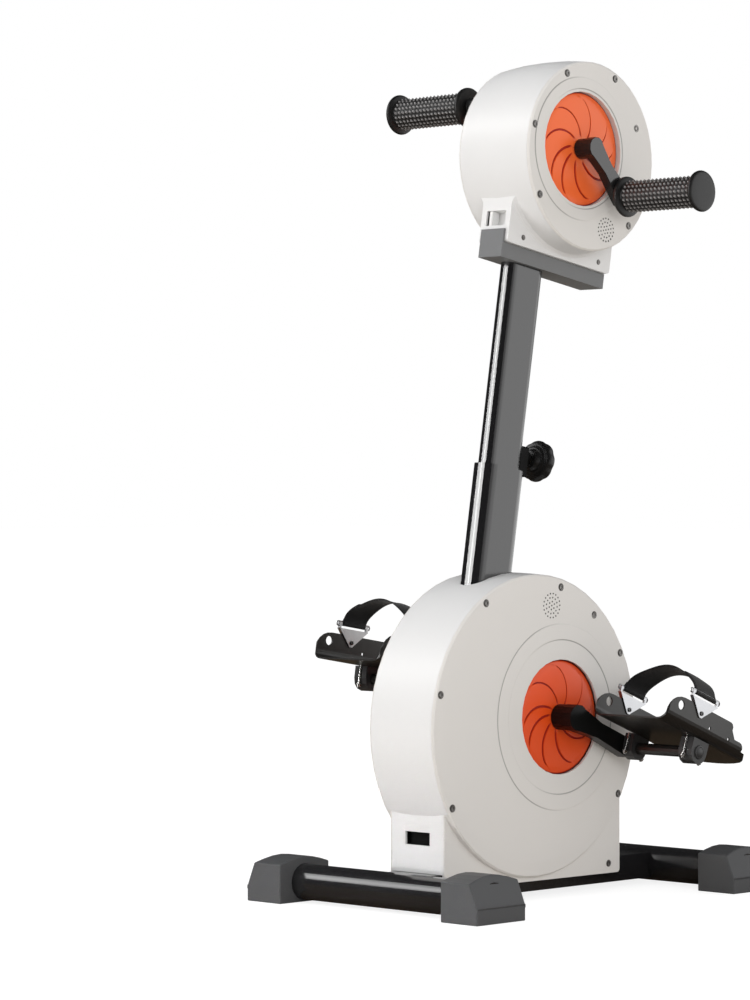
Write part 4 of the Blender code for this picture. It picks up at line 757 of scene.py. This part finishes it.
# %% The strap's path
STRAP_HALF_WIDTH = 0.019
STRAP_MIDDLE = -0.019
STRAP_HALF_THICKNESS = 0.0005
BAR_ACROSS, BAR_HEIGHT = 0.0541, 0.061
BAR_WRAP = 0.0021
ARCH_TOP, ARCH_FULLNESS = 0.0905, 1.1
# The tail lies this far over the arch, and rises to the bar over the first share of it
TAIL_GAP, TAIL_RISES, TAIL_BEND = 0.0014, 0.08, 1.6
NEAR = 0.002
TAIL_STEPS, ARCH_STEPS, WRAP_STEPS = 12, 56, 8


def arch_point(share):
    turn = math.pi * share
    across = -(BAR_ACROSS - BAR_WRAP) * math.cos(turn)
    rise = math.sin(turn) ** ARCH_FULLNESS
    return Vector((across, BAR_HEIGHT + (ARCH_TOP - BAR_HEIGHT) * rise))


def arch_normal(share):
    ahead = arch_point(min(1.0, share + NEAR)) - arch_point(max(0.0, share - NEAR))
    return Vector((-ahead.y, ahead.x)).normalized()


def turned_end(tail_share):
    """The tail and the turn round the bar at the low end of the arch."""
    tail, wrap = [], []
    for i in range(TAIL_STEPS + 1):
        share = tail_share * i / TAIL_STEPS
        near_bar = max(0.0, 1 - share / TAIL_RISES) ** TAIL_BEND
        lift = TAIL_GAP + (2 * BAR_WRAP - TAIL_GAP) * near_bar
        tail.append((arch_point(share) + arch_normal(share) * lift, share))
    for i in range(1, WRAP_STEPS):
        turn = math.pi * i / WRAP_STEPS
        wrap.append((Vector((-BAR_ACROSS - BAR_WRAP * math.cos(turn),
                             BAR_HEIGHT - BAR_WRAP * math.sin(turn))), 0.0))
    return tail[::-1] + wrap


def strap_path(first_tail, last_tail):
    """Points along the band, across and up in the pedal's frame, with their shares."""
    arch = [(arch_point(i / ARCH_STEPS), i / ARCH_STEPS) for i in range(ARCH_STEPS + 1)]
    last = [(Vector((-point.x, point.y)), 1 - share)
            for point, share in reversed(turned_end(last_tail))]
    return turned_end(first_tail) + arch + last


LONG_TAIL, SHORT_TAIL = 0.3, 0.09
STRAP_PATHS = {"left": strap_path(LONG_TAIL, SHORT_TAIL),
               "right": strap_path(SHORT_TAIL, LONG_TAIL)}
right_path = [point for point, share in STRAP_PATHS["right"]]
STRAP_LENGTH = sum((after - before).length for before, after in zip(right_path, right_path[1:]))
print("strap", round(STRAP_LENGTH, 3), "m long")

# %% [markdown]
# The band's section is carried along the path, and every point keeps how far it lies
# along the band and across it. The wave is strongest at the loose edges, and nothing in
# the middle of the band and at the bars.

# %% Carry the band along it
THIN_EDGE = 0.0006
WAVE_HEIGHT, WAVE_EDGE, WAVES = 0.0017, 2.5, 4.2
WAVE_PHASES = (0.6, 2.2)


def strap_section():
    """Points round the band, each across its width and through its thickness."""
    half, thick = STRAP_HALF_WIDTH, STRAP_HALF_THICKNESS
    top = [(-half + 2 * half * i / 10, thick) for i in range(1, 10)]
    right = [(half - THIN_EDGE, thick), (half, 0.0), (half - THIN_EDGE, -thick)]
    return top + right + [(x, -t) for x, t in reversed(top)] + [(-x, t) for x, t in reversed(right)]


def wave(share, across):
    """How far the loose edges stand off the arch."""
    edge = abs(across / STRAP_HALF_WIDTH) ** WAVE_EDGE
    ripple = math.sin(share * WAVES * math.pi + WAVE_PHASES[across >= 0])
    return WAVE_HEIGHT * edge * ripple * math.sin(math.pi * share)


def strap_band(path):
    section = strap_section()
    rows, along, run = [], [], 0.0
    for k, (point, share) in enumerate(path):
        before = path[max(0, k - 1)][0]
        after = path[min(len(path) - 1, k + 1)][0]
        run += (point - before).length
        ahead = (after - before).normalized()
        side = Vector((-ahead.y, ahead.x))
        outward = arch_normal(share)
        row = []
        for width, depth in section:
            spot = point + side * depth + outward * wave(share, width)
            row.append((spot.x, STRAP_MIDDLE + width, spot.y))
        rows.append(row)
        along.append(run)
    bm = capped(skin(rows))
    run_layer = bm.verts.layers.float.new("run")
    span_layer = bm.verts.layers.float.new("span")
    bm.verts.ensure_lookup_table()
    for k, vert in enumerate(list(bm.verts)[:len(rows) * len(section)]):
        vert[run_layer] = along[k // len(section)]
        vert[span_layer] = section[k % len(section)][0]
    return bm


print("section of", len(strap_section()), "points")

# %% [markdown]
# Webbing is a fine twill: ribs a millimetre and a half apart cross the band, and the yarns
# step over each other. The weave is drawn from the distances that the mesh carries, so it
# follows the folds. The sheen makes it shine in grazing light only.

# %% Webbing finish
# Angles to the metre: along the band for its ribs, across it for their steps and the yarns
RIBS, RIB_STEPS, YARNS, YARN_LEAN = 4100.0, 2600.0, 5200.0, 2050.0


def webbing_finish(name, colour):
    finish, shader, start = start_finish(name)
    run, span = start.kept("run"), start.kept("span")
    ribs = start.math("SINE", run * RIBS + start.math("SINE", span * RIB_STEPS) * 0.9)
    yarns = start.math("SINE", span * YARNS + run * YARN_LEAN)
    weave = ribs * 0.3 + yarns * 0.2 + 0.5
    worn = weave * 0.7 + start.spot().noise(60.0) * 0.3
    feed(worn.mix(shade(colour, 0.45), shade(colour, 1.7)), shader, "Base Color")
    relief(start, shader, weave, 0.0002, Strength=0.8)
    hold(shader, {"Roughness": 0.72, "Sheen Weight": 0.15, "Sheen Roughness": 0.4})
    return finish


WEBBING = webbing_finish("strap_webbing", (0.012, 0.012, 0.013))
for side, sign in SIDES:
    strap = on_pedal("foot_strap", strap_band(STRAP_PATHS[side]), side, WEBBING,
                     50)
    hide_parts(f"pedal_strap_{side}")
print("straps", len(SIDES))

# %% [markdown]
# Bent wire and thin rods are the same thing: a round section carried along a line of
# points. The frame of each section is the last one turned as little as possible, so the
# wire never twists.

# %% Bent wire
def bent_wire(points, radius, sides=8):
    """A round rod along a line of points."""
    points = [Vector(point) for point in points]
    rows = []
    across = None
    for k, point in enumerate(points):
        ahead = (points[min(k + 1, len(points) - 1)] - points[max(k - 1, 0)]).normalized()
        if across is None:
            across = ahead.orthogonal().normalized()
        across = (across - ahead * across.dot(ahead)).normalized()
        over = ahead.cross(across)
        rows.append([point + radius * (math.cos(turn) * across + math.sin(turn) * over)
                     for turn in turns(sides)])
    return capped(skin(rows))


def together(meshes):
    """Several loose meshes as one, each a (mesh, placing) pair."""
    whole = bmesh.new()
    for bm, turn in meshes:
        bm.transform(turn)
        loose = bpy.data.meshes.new("loose")
        bm.to_mesh(loose)
        bm.free()
        whole.from_mesh(loose)
        bpy.data.meshes.remove(loose)
    return whole


print("wire helpers ready")

# %% [markdown]
# Along each buckle's bar lies a wire that curls into a small loop at either end, and the
# plate's rivet shows as a dark eye, whose black is painted shade for the rivet's hollow. The
# face that passes the crank's arm has no eye, because there is less than a millimetre of room.

# %% Buckle wires and rivet eyes
BUCKLE_ENDS = (-0.043, 0.005)
BUCKLE_EYE = (-0.0215, 0.04)
WIRE_RADIUS = 0.001
WIRE_ABOVE_BAR = 0.0015
# The loop: its radius, how far before the wire's end it lies, and its turn in degrees
LOOP_RADIUS, LOOP_BEFORE = 0.0024, 0.0012
LOOP_FROM, LOOP_STEP, LOOP_POINTS = -190, 28, 8
EYE_OUT = 0.0031
EYE_PROFILE = ((0.0, 0.0004), (0.0011, 0.0003), (0.0014, 0.0009), (0.0024, 0.0008), (0.0027, 0.0))


def buckle_wire(across):
    front, rear = BUCKLE_ENDS
    top = BAR_HEIGHT + WIRE_ABOVE_BAR + WIRE_RADIUS
    points = []
    for i in range(LOOP_POINTS):
        turn = math.radians(LOOP_FROM + LOOP_STEP * i)
        points.append((across, front - LOOP_BEFORE + LOOP_RADIUS * math.sin(turn),
                       top - LOOP_RADIUS + LOOP_RADIUS * math.cos(turn)))
    middle = [(across, front + (rear - front) * i / 6, top) for i in range(7)]
    other = [(x, front + rear - y, z) for x, y, z in reversed(points)]
    return points + middle + other


for side, sign in SIDES:
    wires, eyes = [], []
    for across in (-BAR_ACROSS, BAR_ACROSS):
        wires.append((bent_wire(buckle_wire(across), WIRE_RADIUS), STILL))
        for face in (1, -1):
            if sign * across < 0 and sign * face < 0:
                continue
            seat = (across + face * EYE_OUT, *BUCKLE_EYE)
            eyes.append((spin(EYE_PROFILE, 16), facing(seat, (face, 0, 0))))
    on_pedal("buckle_wires", together(wires), side, BUCKLE_STEEL)
    # The eyes' black is painted shade for the rivets' hollows
    on_pedal("rivet_eyes", together(eyes), side, BLACK_PAINT)
print("buckle wires and eyes")

# %% [markdown]
# A clamp holds the tray on its tube with two bolts, bright shanks with a nut at the foot.
# The outer clamp has a plug over the tube's end.

# %% Clamp bolts and tube plugs
BOLT_RADIUS, NUT_RADIUS, NUT_ROUND = 0.0015, 0.0029, 0.0002
BOLT_TOP, BOLT_FOOT = 0.0142, -0.0102
BOLT_BESIDE, BOLT_STANDS_OUT = 0.0153, 0.0012
NUT_TOP, WASHER_TOP, WASHER_RADIUS = BOLT_FOOT + 0.0024, BOLT_FOOT + 0.003, 0.0034
WASHER_PROFILE = ((0.0, NUT_TOP), (WASHER_RADIUS, NUT_TOP), (WASHER_RADIUS, WASHER_TOP),
                  (0.0, WASHER_TOP))
PLUG_PROFILE = ((0.0, 0.0021), (0.005, 0.0019), (0.0058, 0.0014), (0.0062, 0.0017),
                (0.0076, 0.0014), (0.0082, 0.0))


def clamp_bolt():
    ends = [(0, 0, BOLT_FOOT - BOLT_STANDS_OUT), (0, 0, BOLT_TOP)]
    nut = bmesh.new()
    bmesh.ops.create_cone(nut, cap_ends=True, segments=6, radius1=NUT_RADIUS,
                          radius2=NUT_RADIUS, depth=NUT_TOP - BOLT_FOOT)
    bmesh.ops.translate(nut, verts=nut.verts, vec=(0.0, 0.0, (BOLT_FOOT + NUT_TOP) / 2))
    bmesh.ops.bevel(nut, geom=nut.edges[:], offset=NUT_ROUND, segments=1, affect="EDGES")
    return together([(bent_wire(ends, BOLT_RADIUS, 12), STILL), (nut, STILL),
                     (spin(WASHER_PROFILE, 16), STILL)])


for side, sign in SIDES:
    bolts = []
    back = PEDAL_FRAMES[side].inverted()
    for clamp in ("inner", "outer"):
        low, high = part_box(f"pedal_clamp_{clamp}_{side}")
        across = (back @ Vector(((low.x + high.x) / 2, 0, 0))).x
        for beside in (-BOLT_BESIDE, BOLT_BESIDE):
            bolts.append((clamp_bolt(), Matrix.Translation((across, beside, 0.0))))
    on_pedal("clamp_bolts", together(bolts), side, BRIGHT_STEEL)
    outer = (back @ Vector((outer_face(f"pedal_clamp_outer_{side}", sign), 0, 0))).x
    on_pedal("tube_plug", spin(PLUG_PROFILE, 32), side, CLAMP_NYLON,
             turn=facing((outer, 0, 0), (sign, 0, 0)))
print("clamp bolts and plugs")

# %% [markdown]
# The hand grips are rubber sleeves with rows of small pyramids between two smooth
# collars. For a pyramid, one point out of four along and around is lifted.

# %% Grips
NUBS_ROUND, NUBS_ALONG = 20, 17
NUB_HEIGHT = 0.0022
NUB_REACH = 0.4
GRIP_BODY = 0.017
NUB_START, NUB_END = 0.0085, 0.1095
# Radius and height of each ring, in millimetres
INNER_COLLAR = ((6.4, 0.3), (19.0, 0.0), (22.4, 0.5), (23.6, 1.8), (23.8, 3.4), (23.4, 5.0),
                (22.0, 6.0), (18.6, 6.5), (17.2, 7.2))
OUTER_COLLAR = ((17.2, 110.4), (18.6, 111.1), (22.0, 111.6), (23.3, 112.4), (23.8, 113.8),
                (23.8, 115.0), (23.3, 116.1), (22.1, 117.0), (20.0, 117.5), (12.0, 117.9),
                (0.0, 118.0))


def grip_sleeve():
    steps = (-0.5, -NUB_REACH, 0.0, NUB_REACH)
    around = [(2 * math.pi * (k + step) / NUBS_ROUND, step == 0.0)
              for k in range(NUBS_ROUND) for step in steps]
    pitch = (NUB_END - NUB_START) / NUBS_ALONG
    nubs = [(GRIP_BODY, NUB_START + pitch * (k + 0.5 + step), NUB_HEIGHT * (step == 0.0))
            for k in range(NUBS_ALONG) for step in steps]
    inner, outer = ([(radius * MM, height * MM, 0.0) for radius, height in collar]
                    for collar in (INNER_COLLAR, OUTER_COLLAR))
    rings = inner + nubs + outer
    bm = skin([[at_turn(radius + lift * up, turn, height) for turn, up in around]
               for radius, height, lift in rings])
    layer = bm.verts.layers.float.new("nub")
    bm.verts.ensure_lookup_table()
    for k, vert in enumerate(bm.verts):
        vert[layer] = float(rings[k // len(around)][2] > 0 and around[k % len(around)][1])
    return sealed(bm)


def grip_finish(name, shaded_valley, top):
    """Rubber with a painted highlight on its nubs and painted shade between them."""
    finish, shader, start = start_finish(name)
    nub, fine = start.kept("nub"), start.spot().noise(700.0)
    # Painted highlight on the nub tops, painted shade in the valleys between them
    feed(nub.mix(shade(shaded_valley), shade(top)), shader, "Base Color")
    feed(0.42 + fine * 0.12 - nub * 0.12, shader, "Roughness")
    relief(start, shader, fine, 0.00004)
    return finish


GRIP_RUBBER = grip_finish("grip_rubber", grey(0.008), (0.33, 0.32, 0.32))
for side, sign in SIDES:
    seat = Vector(JOINTS[f"grip_{side}_spin"]["pos_m"])
    seat.x = outer_face(f"hand_grip_{side}", -sign)
    grip = place(f"nubbed_grip_{side}", grip_sleeve(), facing(seat, (sign, 0, 0)), GRIP_RUBBER,
                 f"grip_{side}", 40)
    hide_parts(f"hand_grip_{side}")
print("grips with", NUBS_ROUND * NUBS_ALONG, "nubs each")

# %% [markdown]
# Grey screws sit round each cover near its rim, in shallow cups. A screw is a turned
# head with a six-sided socket: the rings near its middle go from round to hexagonal.

# %% Cover screws
SOCKET_RADIUS = 0.0017
SCREW_SINK = 0.0004
# Each ring of the head: its radius and height, and whether it has six sides
SCREW_RINGS = ((0.0046, 0.0, 0), (0.0045, 0.00035, 0), (0.0041, 0.00055, 0),
               (0.0037, 0.0004, 0), (0.0034, 0.0003, 0), (0.0033, 0.0009, 0),
               (0.0029, 0.0012, 0), (SOCKET_RADIUS + 0.0002, 0.0012, 1),
               (SOCKET_RADIUS, 0.0011, 1), (SOCKET_RADIUS * 0.9, 0.0004, 1), (0.0, 0.0003, 0))
LOWER_FRAME = Matrix.Translation(LOWER_AXIS)
UPPER_FRAME = Matrix.Translation(UPPER_AXIS) @ Matrix.Rotation(-LEAN, 4, "X")
# Each drum's frame, how far out its covers lie, the body, and the drum's middle
DRUMS = {"lower": (LOWER_FRAME, 0.0506, "frame", LOWER_SHIFT),
         "upper": (UPPER_FRAME, 0.0555, "mast", UPPER_SHIFT)}
# Round the drum's middle: at which angle in degrees, and how far out
SCREWS = {"lower": ((28.5, 0.1668), (51.5, 0.16), (75.4, 0.164), (121.2, 0.1668),
                    (165.5, 0.1668), (211.2, 0.1665), (328.9, 0.1668)),
          "upper": ((35.3, 0.0885), (75.7, 0.1025), (124.5, 0.103), (172.4, 0.1035),
                    (218.2, 0.1035), (319.9, 0.1015))}
# On the block below the drum: back, up and beside from the axle, and the screw's scale
BLOCK_SCREWS = {"lower": ((0.0878, -0.1759, 0.0483, 0.9),),
                "upper": ((-0.0488, -0.1147, 0.0225, 0.7), (0.0855, -0.1145, 0.0225, 0.7))}


def six_sided(turn):
    """How much further out than its flats a hexagon reaches at an angle."""
    return 1 / math.cos((turn + math.pi / 6) % (math.pi / 3) - math.pi / 6)


def cover_screw():
    return sealed(skin([[at_turn(radius * (six_sided(turn) if six else 1.0), turn, height)
                         for turn in turns(24)] for radius, height, six in SCREW_RINGS]))


for drum, (home, face, body, (back, up)) in DRUMS.items():
    spots = []
    for angle, radius in SCREWS[drum]:
        turn = math.radians(angle)
        spots.append((back + radius * math.cos(turn), up + radius * math.sin(turn),
                      face - SCREW_SINK, 1.0))
    spots += BLOCK_SCREWS[drum]
    for side, sign in SIDES:
        screws = []
        for along, height, beside, scale in spots:
            seat = facing((sign * beside, along, height), (sign, 0, 0))
            screws.append((cover_screw(), seat @ Matrix.Scale(scale, 4)))
        place(f"{drum}_cover_screws_{side}", together(screws), home, SCREW_STEEL, body,
              30)
    print(drum, "screws", 2 * len(spots))

# %% [markdown]
# The ring round each disc is one closed section turned about the axle, half a millimetre
# high and set a little into the cover. The upper disc lies deep in its cover, so there a
# second ring gives the opening a pale wall, where the dark inside would show.

# %% Cover rings
RING_RISE, RING_SLOPE, RING_SINK = 0.0005, 0.0008, 0.0002
RING_SIDES = 96
WALL_SECTION = ((0.0667, -0.0025), (0.0685, -0.0025), (0.0685, -0.0072), (0.0667, -0.0072))


def ring_section(inner, outer):
    return ((inner, -RING_SINK), (inner, 0.0), (inner + RING_SLOPE, RING_RISE),
            (outer - RING_SLOPE, RING_RISE), (outer, 0.0), (outer, -RING_SINK))


COVERS = {"lower": (LOWER_COVER, {"cover_ring": ring_section(*LOWER_RING)}),
          "upper": (UPPER_COVER, {"cover_ring": ring_section(*UPPER_RING),
                                  "opening_wall": WALL_SECTION})}
for drum, (home, face, body, shift) in DRUMS.items():
    finish, sections = COVERS[drum]
    for side, sign in SIDES:
        seat = home @ facing((sign * face, 0.0, 0.0), (sign, 0.0, 0.0))
        for name, section in sections.items():
            place(f"{drum}_{name}_{side}", spin(section, RING_SIDES, closed=True), seat, finish,
                  body, 20)
print("cover rings 4 and opening walls 2")

# %% [markdown]
# Each drum has a small field of sound holes on its right-hand cover. The holes lie on
# rings round one hole in the middle, so that they are the same distance apart.
# Each is a tiny dark cup that stands less than a fifth of a millimetre off the cover: painted shade for the hole.

# %% Sound holes
HOLE_RINGS = ((0.0, 1), (1 / 3, 6), (2 / 3, 12), (1.0, 18))
HOLE_PROFILE = ((0.0, 0.00005), (0.0006, 0.00008), (0.00095, 0.00018), (0.0011, -0.0001))
# Where the field's middle lies, back and up from the axle, and how far it reaches
SOUND_FIELDS = {"lower": (-0.0153, 0.1293, 0.014), "upper": (0.0553, -0.0841, 0.0135)}
for drum, (home, face, body, shift) in DRUMS.items():
    back, up, reach = SOUND_FIELDS[drum]
    holes = []
    for share, count in HOLE_RINGS:
        for k in range(count):
            turn, radius = 2 * math.pi * (k + share) / count, reach * share
            seat = (face, back + radius * math.cos(turn), up + radius * math.sin(turn))
            holes.append((spin(HOLE_PROFILE, 8), facing(seat, (1, 0, 0))))
    # The cups' black is painted shade for the insides of the holes
    place(f"{drum}_sound_holes", together(holes), home, BLACK_PLASTIC, body)
print("sound holes", sum(count for share, count in HOLE_RINGS), "a field")

# %% [markdown]
# The lock knob is one turned body with a waist of two steps and a fluted grip, whose rings
# swing in and out eight times. It is hollow, so that the bolt can slide in it.

# %% The lock knob
KNOB_LOBES = 8
FLUTE = 0.045
KNOB_PROFILE = (
    # radius and place along the axis in millimetres, share of the flute
    (0, 66.4, 0), (5.3, 66.4, 0), (5.3, 49.5, 0), (9.2, 49.5, 0), (10.4, 49.9, 0), (11.2, 51.0, 0),
    (12.6, 53.6, 0), (13.1, 55.0, 0), (14.6, 55.3, 0), (16.0, 56.0, 0), (16.8, 57.2, 0),
    (18.6, 57.6, 0.1), (21.5, 58.3, 0.6), (23.3, 60.0, 1), (24.3, 62.8, 1), (24.3, 66.2, 1),
    (23.5, 68.8, 1), (21.6, 70.3, 0.7), (18.6, 71.1, 0.2), (10.0, 71.5, 0), (0, 71.6, 0))


def fluted_knob():
    rows = []
    for radius, along, share in KNOB_PROFILE:
        rows.append([])
        for turn in turns(KNOB_LOBES * 10):
            flute = FLUTE * share * (0.5 - 0.5 * math.cos(KNOB_LOBES * turn)) ** 2
            rows[-1].append(at_turn(radius * MM * (1 - flute), turn, along * MM))
    return sealed(skin(rows))


KNOB_FRAME = facing(JOINTS["lock_knob_turn"]["pos_m"], LOCK_OUT)
knob = place("fluted_knob", fluted_knob(), KNOB_FRAME, KNOB_PLASTIC, "lock_knob",
             50)
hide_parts("lock_knob")
print("knob with", KNOB_LOBES, "lobes")

# %% [markdown]
# The pocket on the head's front holds a port: a dark slot at the left, a pale block beside.

# %% The port in the head's pocket
SLAB_ROUND = 0.0004


def rounded_slab(low, high):
    bm = bmesh.new()
    bmesh.ops.create_cube(bm, size=1.0)
    size = Vector(high) - Vector(low)
    bmesh.ops.scale(bm, vec=size, verts=bm.verts)
    bmesh.ops.translate(bm, vec=Vector(low) + size / 2, verts=bm.verts)
    bmesh.ops.bevel(bm, geom=bm.edges[:], offset=SLAB_ROUND, segments=2, affect="EDGES")
    return bm


POCKET_FRONT, POCKET_LOW, POCKET_HIGH = -0.0746, -0.105, -0.0873
POCKET_DEPTH = 0.013
# Each piece's left and right, how far behind the pocket's front, its gap, and its looks
for name, left, right, behind, gap, finish, slot in (
        ("port_block", -0.0112, -0.0066, 0.001, 0.0002, PORT_WHITE, "white_plastic"),
        ("port_slot", -0.0149, -0.0113, 0.0026, 0.0003, BLACK_PLASTIC, "black_plastic")):
    low = (left, POCKET_FRONT + behind, POCKET_LOW + gap)
    high = (right, POCKET_FRONT + POCKET_DEPTH, POCKET_HIGH - gap)
    place(name, rounded_slab(low, high), UPPER_FRAME, finish, "mast")
print("port ready")

# %% [markdown]
# At the end the colour view is set to Standard.

# %% Colour view
bpy.context.scene.view_settings.view_transform = "Standard"
